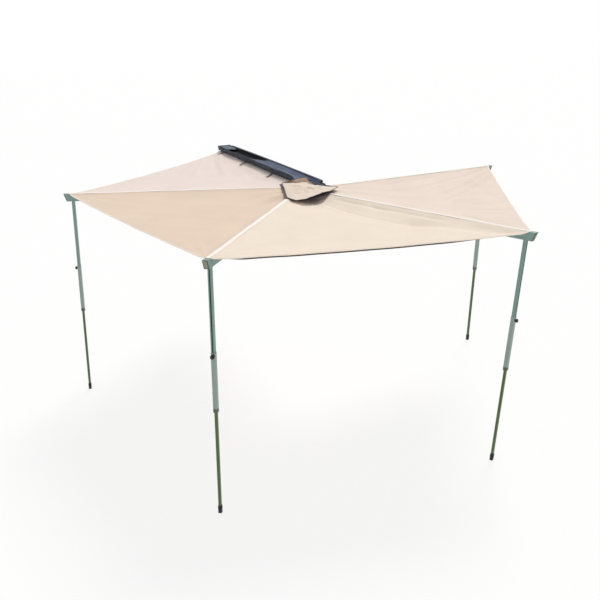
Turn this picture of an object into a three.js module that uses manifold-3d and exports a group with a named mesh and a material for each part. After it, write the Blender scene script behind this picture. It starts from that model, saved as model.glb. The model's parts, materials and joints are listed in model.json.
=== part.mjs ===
// A vehicle side awning that opens through three quarters of a turn around one corner of the vehicle.
// Sizes are in millimetres. +X runs along the backing board away from the hub, +Y points away from
// the vehicle and +Z is up. The model is drawn around the hub pin, with the ground at zero height,
// and the whole group is then moved so that its origin lies on the ground under the middle of its box.

import * as THREE from 'three';
import { mergeVertices } from 'three/addons/utils/BufferGeometryUtils.js';
import Module from 'manifold-3d';

const wasm = await Module();
wasm.setup();

// Driving dimensions of the open awning
const armTopHeight = 2070;
const armReach = 2315;
const armAngles = [70, 137.4, 201.5, 272.4];
const legLeans = [1.7, 1.4, -2.6, -1.3];
const armPitch = 48;
const firstArmOffset = -115;

// Gaps: between pieces that touch, and how far a cutting shape runs past the face it cuts
const fitGap = 0.3;
const cutOverrun = 1;

// Flat sides that stand for a round, by its size
const largeRoundSides = 28;
const smallRoundSides = 20;
const hexSides = 6;

// Arms: channels open below, with a slanted outer end
const armWidth = 40;
const armDepth = 70;
const armWall = 2.5;
const armRootStart = 100;
const armEndSlant = 25;
const endCapThickness = 6;
const endCapLip = 1;
const endCapPlugDepth = 12;

// Tongues: flat plates stacked on the hub pin, each cranked sideways to its own arm
const tongueThickness = 12;
const tongueBossRadius = 27;
const tongueWebRadius = 24;
const tongueLevelShare = 0.9;
const tongueNeckLength = 40;
const tongueNeckClearance = 6;
const tongueGrip = 65;
const rootBoltRadius = 5;
const rootBoltHeadRadius = 9;
const rootBoltHeadThickness = 2.5;

// Hub: a forged yoke on the backing board, with a pin through its two ears
const hubPinRadius = 10;
const earClearance = 2.7;
const earThickness = 6;
const earBossRadius = 32;
const yokePlateThickness = 8;
const yokeStart = 80;
const yokeLength = 120;
const nutRadius = 17;
const nutThickness = 9;

// Backing board, its sail rail and its end cap
const boardFaceOffset = 165;
const boardDepth = 30;
const boardHeight = 160;
const boardRise = 50;
const boardStart = 75;
const boardEnd = 2500;
const boardGroovePlaceShare = 0.125;
const boardGrooveWidth = 12;
const boardGrooveDepth = 4;
const boardWall = 3;
const boardCells = 4;
const boardCapThickness = 6;
const railSize = 12;
const railRise = 6;
const railStart = 215;
const railSlotHeight = 3;
const railSlotDepth = 7;

// Brackets that carry the backing board on the vehicle's roof rack
const bracketPlaceShares = [0.1, 0.5, 0.9];
const bracketWidth = 60;
const bracketHeight = 110;
const bracketReach = 70;
const bracketThickness = 5;
const bracketSlotLength = 36;
const bracketSlotWidth = 11;

// Legs: an upper channel hinged in the arm, and a sleeve that slides on it with the lower tube and foot
const legInset = 83;
const legPinDrop = 30;
const legPinRadius = 5;
const legPinHeadRadius = 8;
const legPinHeadThickness = 2.5;
const legUpperSize = 28;
const legUpperWall = 2;
const legHeadWidth = 34;
const legHeadDrop = 45;
const legSlotWidth = 9;
const legSlotStart = 140;
const sleeveSize = 32.5;
const sleeveLength = 480;
const sleeveBottomHeight = 880;
const sleeveCollarDepth = 30;
const legUpperOverlap = 70;
const legLowerSize = 21;
const legLowerWall = 1.8;
const footSize = 26;
const footHeight = 65;
const footFloor = 8;

// Clamp knobs
const knobRadius = 16;
const knobLobes = 5;
const knobLobeDepth = 2;
const knobStepsPerLobe = 8;
const knobThickness = 15;
const knobStemRadius = 4;
const knobNeckRadius = 9;
const knobNeckLength = 6;
const knobDropFromSleeveTop = 28;

// Canopy: four fabric panels sewn along the arm tops
const clothThickness = 2;
const hubOpening = 150;
const panelSetbacks = [[20, 45], [45, 45], [45, 45], [45, 35]];
const seamGap = 0.6;
const clothFlatBand = 28;
const hemSag = 16;
const bellySag = 26;
const foldDepth = 5;
const foldCount = 3;
const clothColumns = 12;
const clothRows = 12;

// Hub cover: a fabric flap with a loose edge over the middle of the canopy
const coverReach = 450;
const coverOutlineShares = [
  [0.51, -0.2], [0.33, 0.52], [-0.79, 0.82], [-0.98, 0.6], [-0.82, 0.09], [-0.34, -0.51], [-0.07, -0.1],
];
const coverMiddleShares = [-0.18, 0.18];
const coverRise = 40;
const coverThickness = 4;
const coverRings = 5;
const coverSpokesPerSide = 4;

// Storage bag, lying open along the backing board, and the straps that close it
const bagThickness = 4;
const bagStart = -40;
const bagNeckEnd = 235;
const bagNeckWidth = 62;
const bagMouthStart = 262;
const bagWidth = 164;
const bagFrontHeight = 58;
const bagBackHeight = 44;
const bagNeckLip = 8;
const bagFrontLean = 8;
const bagWaveDepth = 4;
const bagWaveLength = 640;
const bagStations = 22;
const bagEndPanelThickness = 6;
const strapPlaceShares = [0.31, 0.64, 0.97];
const strapWidth = 25;
const strapThickness = 2;
const strapStart = 100;
const strapEnd = 285;
const strapLift = 2.2;
const strapSteps = 8;

// Values worked out from the sizes above
const right = THREE.MathUtils.degToRad(90);
const armTop = armTopHeight;
const armBottom = armTop - armDepth;
const armEnd = armReach - endCapThickness;
const channelHalf = armWidth / 2 - armWall;
const earTopUnderside = armTop + earClearance;
const earTopFace = earTopUnderside + earThickness;
const earBottomFace = armBottom - earClearance;
const tongueStep = (earTopUnderside - earBottomFace) / armAngles.length;
const boardTop = armTop + boardRise;
const boardFace = -boardFaceOffset;
const boardBack = boardFace - boardDepth;
const railFace = boardFace + fitGap + railSize;
const bagFloor = armTop + railRise + fitGap;
const strapSeam = bagWidth - railSize;
const legHingeX = armReach - legInset;
const legHingeZ = armTop - legPinDrop;
const sleeveTopHeight = sleeveBottomHeight + sleeveLength;
const knobHeight = sleeveTopHeight - knobDropFromSleeveTop;

// Materials, one per finish
const finishes = {
  alloy: { color: 0x8c9a96, roughness: 0.38, metalness: 0.9 },
  alloyPale: { color: 0xa9b3ae, roughness: 0.35, metalness: 0.9 },
  steel: { color: 0x9a9c9d, roughness: 0.3, metalness: 1 },
  darkSteel: { color: 0x2b2e30, roughness: 0.5, metalness: 0.7 },
  plastic: { color: 0x17181a, roughness: 0.55, metalness: 0 },
  capPlastic: { color: 0x4c544c, roughness: 0.6, metalness: 0 },
  canvas: { color: 0xe6d6c3, roughness: 0.92, metalness: 0 },
  bagCloth: { color: 0x323b4c, roughness: 0.6, metalness: 0 },
  webbing: { color: 0x2c3038, roughness: 0.85, metalness: 0 },
};
const finish = (name) => new THREE.MeshStandardMaterial({ ...finishes[name], side: THREE.FrontSide });

// Joining and cutting

function toSolid(geometry) {
  const bare = geometry.clone();
  bare.deleteAttribute('normal');
  bare.deleteAttribute('uv');
  const merged = mergeVertices(bare);
  return new wasm.Manifold(new wasm.Mesh({
    numProp: 3,
    vertProperties: new Float32Array(merged.attributes.position.array),
    triVerts: new Uint32Array(merged.index.array),
  }));
}

function toGeometry(solid) {
  const mesh = solid.getMesh();
  const geometry = new THREE.BufferGeometry();
  geometry.setAttribute('position', new THREE.BufferAttribute(new Float32Array(mesh.vertProperties), 3));
  geometry.setIndex(new THREE.BufferAttribute(new Uint32Array(mesh.triVerts), 1));
  geometry.computeVertexNormals();
  return geometry;
}

const join = (...parts) => toGeometry(parts.map(toSolid).reduce((all, part) => all.add(part)));
const cut = (body, ...tools) => toGeometry(tools.map(toSolid).reduce((left, t) => left.subtract(t), toSolid(body)));

// Shapes

const block = (x0, x1, y0, y1, z0, z1) => new THREE.BoxGeometry(x1 - x0, y1 - y0, z1 - z0)
  .translate((x0 + x1) / 2, (y0 + y1) / 2, (z0 + z1) / 2);

function outline(points) {
  return new THREE.Shape(points.map(([x, y]) => new THREE.Vector2(x, y)));
}

const prism = (shape, depth) => new THREE.ExtrudeGeometry(shape, { depth, bevelEnabled: false });

// A plan outline raised from z0 to z1
const plate = (points, z0, z1) => prism(outline(points), z1 - z0).translate(0, 0, z0);

// A side outline, in x and z, given a width along y
const sideProfile = (points, width) => prism(outline(points), width).rotateX(right).translate(0, width / 2, 0);

// A cross-section, in y and z, run along x
const run = (points, x0, x1) => prism(outline(points), x1 - x0).rotateX(right).rotateZ(right).translate(x0, 0, 0);

const rod = (radius, length, sides = smallRoundSides) => new THREE.CylinderGeometry(radius, radius, length, sides);
const rodAlongX = (radius, x0, x1, y, z, sides) => rod(radius, x1 - x0, sides).rotateZ(-right)
  .translate((x0 + x1) / 2, y, z);
const rodAlongY = (radius, x, y0, y1, z, sides) => rod(radius, y1 - y0, sides).translate(x, (y0 + y1) / 2, z);
const rodAlongZ = (radius, x, y, z0, z1, sides) => rod(radius, z1 - z0, sides).rotateX(right)
  .translate(x, y, (z0 + z1) / 2);

function circlePoints(radius, count) {
  const turn = 2 * Math.PI / count;
  return Array.from({ length: count }, (_, i) => [radius * Math.cos(i * turn), radius * Math.sin(i * turn)]);
}

// The convex outline around a set of plan points, by the monotone chain method
function hull(points) {
  const sorted = [...points].sort((a, b) => a[0] - b[0] || a[1] - b[1]);
  const turnsLeft = (o, a, b) => (a[0] - o[0]) * (b[1] - o[1]) - (a[1] - o[1]) * (b[0] - o[0]) > 0;
  const chain = (list) => {
    const kept = [];
    for (const p of list) {
      while (kept.length > 1 && !turnsLeft(kept[kept.length - 2], kept[kept.length - 1], p)) kept.pop();
      kept.push(p);
    }
    kept.pop();
    return kept;
  };
  return [...chain(sorted), ...chain(sorted.reverse())];
}

// A closed solid from rings of points: each ring is joined to the next, and a cap is a list of triangles
// within an end ring, empty where that ring has shrunk to a point
function loft(rings, capStart, capEnd) {
  const count = rings[0].length;
  const positions = rings.flat(2);
  const index = [];
  for (let r = 0; r + 1 < rings.length; r += 1) {
    for (let i = 0; i < count; i += 1) {
      const a = r * count + i;
      const b = r * count + (i + 1) % count;
      index.push(a, b, a + count, b, b + count, a + count);
    }
  }
  const last = (rings.length - 1) * count;
  capStart.forEach(([a, b, c]) => index.push(a, c, b));
  capEnd.forEach(([a, b, c]) => index.push(last + a, last + b, last + c));
  const geometry = new THREE.BufferGeometry();
  geometry.setAttribute('position', new THREE.Float32BufferAttribute(positions, 3));
  geometry.setIndex(index);
  geometry.computeVertexNormals();
  return geometry;
}

// A sheet of even thickness over a grid: at(i, j) gives the point on its upper face
function sheet(columns, rows, thickness, at) {
  const positions = [];
  for (const drop of [0, thickness]) {
    for (let j = 0; j <= rows; j += 1) {
      for (let i = 0; i <= columns; i += 1) {
        const p = at(i, j);
        positions.push(p.x, p.y, p.z - drop);
      }
    }
  }
  const layer = (columns + 1) * (rows + 1);
  const top = (i, j) => j * (columns + 1) + i;
  const low = (i, j) => layer + top(i, j);
  const index = [];
  const quad = (a, b, c, d) => index.push(a, b, c, a, c, d);
  for (let j = 0; j < rows; j += 1) {
    for (let i = 0; i < columns; i += 1) {
      quad(top(i, j), top(i + 1, j), top(i + 1, j + 1), top(i, j + 1));
      quad(low(i, j), low(i, j + 1), low(i + 1, j + 1), low(i + 1, j));
    }
  }
  for (let i = 0; i < columns; i += 1) {
    quad(low(i, 0), low(i + 1, 0), top(i + 1, 0), top(i, 0));
    quad(low(i + 1, rows), low(i, rows), top(i, rows), top(i + 1, rows));
  }
  for (let j = 0; j < rows; j += 1) {
    quad(low(0, j + 1), low(0, j), top(0, j), top(0, j + 1));
    quad(low(columns, j), low(columns, j + 1), top(columns, j + 1), top(columns, j));
  }
  const geometry = new THREE.BufferGeometry();
  geometry.setAttribute('position', new THREE.Float32BufferAttribute(positions, 3));
  geometry.setIndex(index);
  const first = new THREE.Vector3().subVectors(at(1, 0), at(0, 0));
  const second = new THREE.Vector3().subVectors(at(0, 1), at(0, 0));
  if (first.cross(second).z < 0) {
    const order = geometry.index.array;
    for (let t = 0; t < order.length; t += 3) [order[t + 1], order[t + 2]] = [order[t + 2], order[t + 1]];
  }
  geometry.computeVertexNormals();
  return geometry;
}

function named(name, geometry, finishName) {
  const mesh = new THREE.Mesh(geometry, finish(finishName));
  mesh.name = name;
  return mesh;
}

// Arms. Each is drawn along +X from the hub pin, with its centre line set to the left by its offset.

const armOffset = (k) => firstArmOffset + armPitch * k;

function armChannel(offset) {
  const outer = sideProfile([
    [armRootStart, armBottom], [armEnd - armEndSlant, armBottom], [armEnd, armTop], [armRootStart, armTop],
  ], armWidth);
  const hollow = block(armRootStart - cutOverrun, armEnd + cutOverrun, -channelHalf, channelHalf,
    armBottom - cutOverrun, armTop - armWall);
  const pinBore = rodAlongY(legPinRadius + fitGap, legHingeX, -armWidth, armWidth, legHingeZ);
  return cut(outer, hollow, pinBore).translate(0, offset, 0);
}

// Where a plane parallel to the arm's slanted end lies at a height
const endAt = (height, beyond) => armEnd + beyond - armEndSlant * (armTop - height) / armDepth;

function armEndCap(offset) {
  const low = armBottom - endCapLip;
  const high = armTop + endCapLip;
  const face = sideProfile([
    [endAt(low, fitGap), low], [endAt(low, endCapThickness), low],
    [endAt(high, endCapThickness), high], [endAt(high, fitGap), high],
  ], armWidth + 2 * endCapLip);
  const plugTop = armTop - armWall - fitGap;
  const plugLow = armBottom + armWall;
  const plugBack = armEnd - armEndSlant - endCapPlugDepth;
  const plug = sideProfile([
    [plugBack, plugLow], [endAt(plugLow, endCapThickness / 2), plugLow],
    [endAt(plugTop, endCapThickness / 2), plugTop], [plugBack, plugTop],
  ], 2 * (channelHalf - fitGap));
  return join(face, plug).translate(0, offset, 0);
}

const hubBore = (low, high) => rodAlongZ(hubPinRadius + fitGap, 0, 0, low - cutOverrun, high + cutOverrun,
  largeRoundSides);
const bossMiddle = (k) => earTopUnderside - (k + 0.5) * tongueStep;
const webMiddle = (k) => THREE.MathUtils.lerp((armTop + armBottom) / 2, bossMiddle(k), tongueLevelShare);

function tongue(k) {
  const offset = armOffset(k);
  const half = channelHalf - fitGap;
  const top = webMiddle(k) + tongueThickness / 2;
  const low = top - tongueThickness;
  const bossHalf = (tongueStep - fitGap) / 2;
  const bossLow = bossMiddle(k) - bossHalf;
  const bossTop = bossMiddle(k) + bossHalf;
  const neckEnd = armRootStart - tongueNeckClearance;
  const neckStart = neckEnd - tongueNeckLength;
  const web = plate(hull([
    ...circlePoints(tongueWebRadius, largeRoundSides),
    [neckStart, offset - half], [neckEnd, offset - half], [neckEnd, offset + half], [neckStart, offset + half],
  ]), low, top);
  const grip = block(neckStart, armRootStart + tongueGrip, offset - half, offset + half, low, top);
  const boss = rodAlongZ(tongueBossRadius, 0, 0, bossLow, bossTop, largeRoundSides);
  const bore = hubBore(bossLow, bossTop);
  return cut(join(web, grip, boss), bore);
}

const rootBoltX = armRootStart + tongueGrip / 2;

// A round pin across an arm with a flat head on each side
function crossPin(radius, headRadius, headThickness, x, z, offset) {
  const half = armWidth / 2 + fitGap;
  return join(
    rodAlongY(radius, x, offset - half - headThickness / 2, offset + half + headThickness / 2, z),
    rodAlongY(headRadius, x, offset - half - headThickness, offset - half, z),
    rodAlongY(headRadius, x, offset + half, offset + half + headThickness, z),
  );
}

// The bore that a cross pin runs in, cut through a piece of the arm
const crossBore = (radius, x, z, offset) => rodAlongY(radius + fitGap, x, offset - armWidth, offset + armWidth, z);

// Legs. Each is drawn downwards from its hinge pin, with +X pointing out of the awning.

const fromHinge = (height, lean) => (height - legHingeZ) / Math.cos(THREE.MathUtils.degToRad(lean));

function squareTube(size, wall, z0, z1) {
  const half = size / 2;
  const inner = half - wall;
  const tool = block(-inner, inner, -inner, inner, z0 - cutOverrun, z1 + cutOverrun);
  return cut(block(-half, half, -half, half, z0, z1), tool);
}

function legUpper(lean) {
  const half = legUpperSize / 2;
  const inner = half - legUpperWall;
  const bottom = fromHinge(sleeveTopHeight - legUpperOverlap, lean);
  const head = sideProfile([
    [-half, -legHeadDrop], [half, -legHeadDrop], [half, 0],
    ...circlePoints(half, largeRoundSides).filter(([, z]) => z > 0), [-half, 0],
  ], legHeadWidth);
  const tube = block(-half, half, -half, half, bottom, -legHeadDrop / 2);
  const hollow = block(-inner, inner, -inner, inner, bottom - cutOverrun, -legHeadDrop);
  const slot = block(0, half + cutOverrun, -legSlotWidth / 2, legSlotWidth / 2, bottom - cutOverrun, -legSlotStart);
  const bore = rodAlongY(legPinRadius + fitGap, 0, -legHeadWidth, legHeadWidth, 0);
  return cut(join(head, tube), hollow, slot, bore);
}

function legSleeve(lean) {
  const half = sleeveSize / 2;
  const bottom = fromHinge(sleeveBottomHeight, lean);
  const top = fromHinge(sleeveTopHeight, lean);
  const upperHalf = legUpperSize / 2 + fitGap;
  const lowerHalf = legLowerSize / 2 + fitGap;
  const knobZ = fromHinge(knobHeight, lean);
  return cut(
    block(-half, half, -half, half, bottom, top),
    block(-upperHalf, upperHalf, -upperHalf, upperHalf, bottom + sleeveCollarDepth, top + cutOverrun),
    block(-lowerHalf, lowerHalf, -lowerHalf, lowerHalf, bottom - cutOverrun, bottom + sleeveCollarDepth + cutOverrun),
    rodAlongX(knobStemRadius + fitGap, 0, sleeveSize, 0, knobZ),
  );
}

function legLower(lean) {
  const bottom = fromHinge(footFloor, lean);
  const top = fromHinge(sleeveBottomHeight, lean) + sleeveCollarDepth;
  return squareTube(legLowerSize, legLowerWall, bottom, top);
}

// The foot is cut level with the ground, so that it stands flat however the leg leans
function foot(lean) {
  const half = footSize / 2;
  const inner = legLowerSize / 2 + fitGap;
  const ground = fromHinge(0, lean);
  const tilt = half * Math.tan(THREE.MathUtils.degToRad(lean));
  const top = ground + footHeight;
  const body = sideProfile([
    [-half, ground + tilt], [half, ground - tilt], [half, top], [-half, top],
  ], footSize);
  const seat = fromHinge(footFloor, lean) - fitGap;
  return cut(body, block(-inner, inner, -inner, inner, seat, top + cutOverrun));
}

function knob(lean) {
  const z = fromHinge(knobHeight, lean);
  const face = sleeveSize / 2 + fitGap;
  const neckEnd = face + knobNeckLength;
  const steps = knobLobes * knobStepsPerLobe;
  const rim = Array.from({ length: steps }, (_, i) => {
    const turn = 2 * Math.PI * i / steps;
    const radius = knobRadius - knobLobeDepth + knobLobeDepth * Math.cos(knobLobes * turn);
    return [radius * Math.cos(turn), radius * Math.sin(turn)];
  });
  const grip = run(rim, neckEnd - cutOverrun, neckEnd + knobThickness);
  const neck = rodAlongX(knobNeckRadius, face, neckEnd, 0, 0);
  const stem = rodAlongX(knobStemRadius, legUpperSize / 2 - legUpperWall, neckEnd, 0, 0);
  return join(grip, neck, stem).translate(0, 0, z);
}

function legGroup(k, armGroup) {
  const lean = legLeans[k];
  const leg = new THREE.Group();
  leg.position.set(legHingeX, armOffset(k), legHingeZ);
  leg.rotation.y = -THREE.MathUtils.degToRad(lean);
  const n = k + 1;
  leg.add(
    named(`leg_${n}_upper`, legUpper(lean), 'alloy'),
    named(`leg_${n}_sleeve`, legSleeve(lean), 'alloyPale'),
    named(`leg_${n}_lower_tube`, legLower(lean), 'alloy'),
    named(`leg_${n}_foot`, foot(lean), 'plastic'),
    named(`leg_${n}_knob`, knob(lean), 'plastic'),
  );
  armGroup.add(leg);
}

function arm(k) {
  const group = new THREE.Group();
  group.rotation.z = THREE.MathUtils.degToRad(armAngles[k]);
  const n = k + 1;
  const offset = armOffset(k);
  const rootBore = crossBore(rootBoltRadius, rootBoltX, webMiddle(k), offset);
  group.add(
    named(`arm_${n}`, cut(armChannel(offset), rootBore), 'alloy'),
    named(`arm_${n}_tongue`, cut(tongue(k), rootBore), 'darkSteel'),
    named(`arm_${n}_end_cap`, armEndCap(offset), 'capPlastic'),
    named(`arm_${n}_root_bolt`,
      crossPin(rootBoltRadius, rootBoltHeadRadius, rootBoltHeadThickness, rootBoltX, webMiddle(k), offset), 'steel'),
    named(`leg_${n}_hinge_pin`,
      crossPin(legPinRadius, legPinHeadRadius, legPinHeadThickness, legHingeX, legHingeZ, offset), 'steel'),
  );
  legGroup(k, group);
  return group;
}

// Hub

const yokeEnd = yokeStart + yokeLength;
const yokeFace = boardFace + fitGap + yokePlateThickness;

function hubYoke() {
  const ear = hull([
    ...circlePoints(earBossRadius, largeRoundSides),
    [yokeStart, boardFace + fitGap], [yokeEnd, boardFace + fitGap], [yokeEnd, yokeFace], [yokeStart, yokeFace],
  ]);
  const low = earBottomFace - earThickness;
  const body = join(
    plate(ear, earTopUnderside, earTopFace),
    plate(ear, low, earBottomFace),
    block(yokeStart, yokeEnd, boardFace + fitGap, yokeFace, low, earTopFace),
  );
  return cut(body, hubBore(low, earTopFace));
}

function hubPin() {
  const low = earBottomFace - earThickness - fitGap;
  const head = rodAlongZ(nutRadius, 0, 0, low - nutThickness, low, hexSides);
  const shank = rodAlongZ(hubPinRadius, 0, 0, low - nutThickness / 2, earTopFace + nutThickness, largeRoundSides);
  return join(head, shank);
}

function hubNut() {
  const low = earTopFace + fitGap;
  const body = rodAlongZ(nutRadius, 0, 0, low, low + nutThickness, hexSides);
  return cut(body, hubBore(low, low + nutThickness));
}

// Backing board and what is fixed to it

function backingBoard() {
  const low = boardTop - boardHeight;
  const groove = boardBack + boardGrooveDepth;
  const inset = boardGroovePlaceShare * boardHeight;
  const profile = [[boardFace, low], [boardFace, boardTop], [boardBack, boardTop]];
  for (const centre of [boardTop - inset, low + inset]) {
    const high = centre + boardGrooveWidth / 2;
    const under = centre - boardGrooveWidth / 2;
    profile.push([boardBack, high], [groove, high], [groove, under], [boardBack, under]);
  }
  profile.push([boardBack, low]);
  const pitch = (boardHeight - boardWall) / boardCells;
  const cells = Array.from({ length: boardCells }, (_, i) => {
    const floor = low + boardWall + i * pitch;
    return block(boardStart - cutOverrun, boardEnd + cutOverrun, boardBack + boardGrooveDepth + boardWall,
      boardFace - boardWall, floor, floor + pitch - boardWall);
  });
  return cut(run(profile, boardStart, boardEnd), ...cells);
}

function sailRail() {
  const back = boardFace + fitGap;
  const high = armTop + railRise;
  const low = high - railSize;
  const slotMiddle = armTop + fitGap + clothThickness / 2;
  const slotDepth = railFace - railSlotDepth;
  return run([
    [back, low], [railFace, low], [railFace, slotMiddle - railSlotHeight / 2],
    [slotDepth, slotMiddle - railSlotHeight / 2], [slotDepth, slotMiddle + railSlotHeight / 2],
    [railFace, slotMiddle + railSlotHeight / 2], [railFace, high], [back, high],
  ], railStart, boardEnd);
}

const boardEndCap = () => block(boardEnd + fitGap, boardEnd + fitGap + boardCapThickness, boardBack, boardFace,
  boardTop - boardHeight, boardTop);

// An angle bracket with a slot in its foot, for a bolt down into a roof rack bar
function mountingBracket(placeShare) {
  const x = boardStart + placeShare * (boardEnd - boardStart);
  const low = boardTop - boardHeight;
  const back = boardBack - fitGap;
  const half = bracketWidth / 2;
  const slotMiddle = back - bracketThickness - (bracketReach - bracketThickness) / 2;
  const body = run([
    [back, low], [back, low + bracketHeight], [back - bracketThickness, low + bracketHeight],
    [back - bracketThickness, low + bracketThickness], [back - bracketReach, low + bracketThickness],
    [back - bracketReach, low],
  ], x - half, x + half);
  const slot = block(x - bracketSlotWidth / 2, x + bracketSlotWidth / 2, slotMiddle - bracketSlotLength / 2,
    slotMiddle + bracketSlotLength / 2, low - cutOverrun, low + bracketThickness + cutOverrun);
  return cut(body, slot);
}

// Canopy

function armLine(k, along) {
  const angle = THREE.MathUtils.degToRad(armAngles[k]);
  const ahead = new THREE.Vector2(Math.cos(angle), Math.sin(angle));
  const left = new THREE.Vector2(-ahead.y, ahead.x);
  return left.multiplyScalar(armOffset(k)).addScaledVector(ahead, along);
}

// The two straight sides of a panel in plan, each from the hub outwards
function panelSides(k) {
  const [before, after] = panelSetbacks[k];
  const first = k === 0
    ? [new THREE.Vector2(railStart, railFace + fitGap), new THREE.Vector2(boardEnd - before, railFace + fitGap)]
    : [armLine(k - 1, hubOpening), armLine(k - 1, armReach - before)];
  return [first, [armLine(k, hubOpening), armLine(k, armReach - after)]];
}

// A point on a panel's upper face: across runs from its first side to its second, out from hub to hem
function panelPoint(k, across, out) {
  const [[a0, a1], [b0, b1]] = panelSides(k);
  const a = a0.clone().lerp(a1, out);
  const b = b0.clone().lerp(b1, out);
  const width = a.distanceTo(b);
  const band = clothFlatBand / width;
  const t = THREE.MathUtils.clamp((across - band) / (1 - 2 * band), 0, 1);
  const hollow = 4 * t * (1 - t);
  const sag = hemSag * out + bellySag * Math.sin(Math.PI * out);
  const fold = foldDepth * Math.cos(2 * Math.PI * foldCount * t) * (1 - out);
  const plan = a.lerp(b, across);
  return new THREE.Vector3(plan.x, plan.y, armTop + fitGap + clothThickness - hollow * (sag + fold));
}

function canopyPanel(k) {
  return sheet(clothColumns, clothRows, clothThickness, (i, j) => {
    const out = j / clothRows;
    const [[a0, a1], [b0, b1]] = panelSides(k);
    const width = a0.clone().lerp(a1, out).distanceTo(b0.clone().lerp(b1, out));
    const edge = seamGap / 2 / width;
    const band = clothFlatBand / width;
    if (i === 0) return panelPoint(k, k === 0 ? 0 : edge, out);
    if (i === clothColumns) return panelPoint(k, 1 - edge, out);
    return panelPoint(k, band + (1 - 2 * band) * (i - 1) / (clothColumns - 2), out);
  });
}

function hubCover() {
  const middle = coverMiddleShares.map((share) => share * coverReach);
  const corners = coverOutlineShares.map(([x, y]) => [x * coverReach, y * coverReach]);
  const edge = corners.flatMap((corner, c) => {
    const next = corners[(c + 1) % corners.length];
    return Array.from({ length: coverSpokesPerSide }, (_, i) => {
      const t = i / coverSpokesPerSide;
      return [corner[0] + (next[0] - corner[0]) * t, corner[1] + (next[1] - corner[1]) * t];
    });
  });
  const low = earTopFace + fitGap;
  const ring = (share, lift) => edge.map(([x, y]) => [
    THREE.MathUtils.lerp(middle[0], x, share), THREE.MathUtils.lerp(middle[1], y, share),
    low + lift + coverRise * (1 - share * share),
  ]);
  const shares = Array.from({ length: coverRings + 1 }, (_, r) => r / coverRings);
  const bottom = shares.map((share) => ring(share, 0));
  const top = shares.map((share) => ring(share, coverThickness));
  return loft([...bottom, ...top.reverse()], [], []);
}

// Storage bag

function bagSection(x) {
  const opening = THREE.MathUtils.smoothstep(x, bagNeckEnd, bagMouthStart);
  const wave = bagWaveDepth * Math.sin(2 * Math.PI * (x - bagMouthStart) / bagWaveLength) * opening;
  const mix = (neck, mouth) => neck + (mouth - neck) * opening;
  const back = boardFace + fitGap;
  const floor = mix(earTopFace + fitGap, bagFloor);
  const front = back + mix(bagNeckWidth, bagWidth);
  const frontTop = floor + mix(bagNeckLip, bagFrontHeight) - Math.abs(wave);
  const lean = mix(0, bagFrontLean) + wave;
  const backTop = floor + bagBackHeight;
  const t = bagThickness;
  return [
    [x, back, backTop], [x, back, floor], [x, front, floor], [x, front + lean, frontTop],
    [x, front + lean - t, frontTop], [x, front - t, floor + t], [x, back + t, floor + t], [x, back + t, backTop],
  ];
}

function storageBag() {
  const mouth = Array.from({ length: bagStations }, (_, i) => bagMouthStart
    + (boardEnd - bagMouthStart) * i / (bagStations - 1));
  const stations = [bagStart, (bagStart + bagNeckEnd) / 2, bagNeckEnd, (bagNeckEnd + bagMouthStart) / 2, ...mouth];
  const cap = [[0, 1, 6], [0, 6, 7], [1, 2, 5], [1, 5, 6], [2, 3, 4], [2, 4, 5]];
  return loft(stations.map(bagSection), cap, cap);
}

function bagEndPanel() {
  const back = boardFace + fitGap;
  const front = back + bagWidth;
  const top = bagFloor + bagFrontHeight;
  return run([
    [back, bagFloor], [front, bagFloor], [front + bagFrontLean, top], [back, top],
  ], boardEnd + fitGap, boardEnd + fitGap + bagEndPanelThickness);
}

// A strap lies over the first canopy panel, following the cloth out from under the bag
function bagStrap(placeShare) {
  const [[a0, a1], [b0, b1]] = panelSides(0);
  return sheet(strapSteps, 1, strapThickness, (i, j) => {
    const out = placeShare + (j - 0.5) * strapWidth / a0.distanceTo(a1);
    const a = a0.clone().lerp(a1, out);
    const b = b0.clone().lerp(b1, out);
    const from = strapStart + (strapEnd - strapStart) * i / strapSteps;
    const point = panelPoint(0, from / (b.y - a.y), out);
    const clear = THREE.MathUtils.smoothstep(from, strapSeam, strapEnd);
    point.z = THREE.MathUtils.lerp(bagFloor - fitGap, point.z + strapLift + strapThickness, clear);
    return point;
  });
}

// The whole awning

const awning = new THREE.Group();
awning.add(
  named('backing_board', backingBoard(), 'alloy'),
  named('sail_rail', sailRail(), 'alloyPale'),
  named('board_end_cap', boardEndCap(), 'capPlastic'),
  ...bracketPlaceShares.map((share, i) => named(`mounting_bracket_${i + 1}`, mountingBracket(share), 'darkSteel')),
  named('hub_yoke', hubYoke(), 'darkSteel'),
  named('hub_pin', hubPin(), 'steel'),
  named('hub_nut', hubNut(), 'steel'),
  named('hub_cover', hubCover(), 'canvas'),
  named('storage_bag', storageBag(), 'bagCloth'),
  named('bag_end_panel', bagEndPanel(), 'bagCloth'),
  ...strapPlaceShares.map((share, i) => named(`bag_strap_${i + 1}`, bagStrap(share), 'webbing')),
);
armAngles.forEach((_, k) => {
  awning.add(arm(k));
  awning.add(named(`canopy_panel_${k + 1}`, canopyPanel(k), 'canvas'));
});

// Put the origin on the ground, under the middle of the awning's box
awning.updateMatrixWorld(true);
const extent = new THREE.Box3().setFromObject(awning, true);
awning.position.set(-(extent.min.x + extent.max.x) / 2, -(extent.min.y + extent.max.y) / 2, 0);

export default awning;
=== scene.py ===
"""Looks of a fan-shaped vehicle side awning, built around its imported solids.

The solids hold the rigid frame: backing board, hub yoke, four arms and four telescopic legs. This script
eases their edges and gives them their finishes, and lays the canopy, hems, hub cover, storage bag, straps
and small fittings over them. Lengths are in metres.
"""

import json
import logging
import math
from dataclasses import dataclass, field
from enum import Enum
from typing import Any, Sequence

import bmesh
import bpy
import numpy as np
from mathutils import Matrix, Vector

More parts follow.
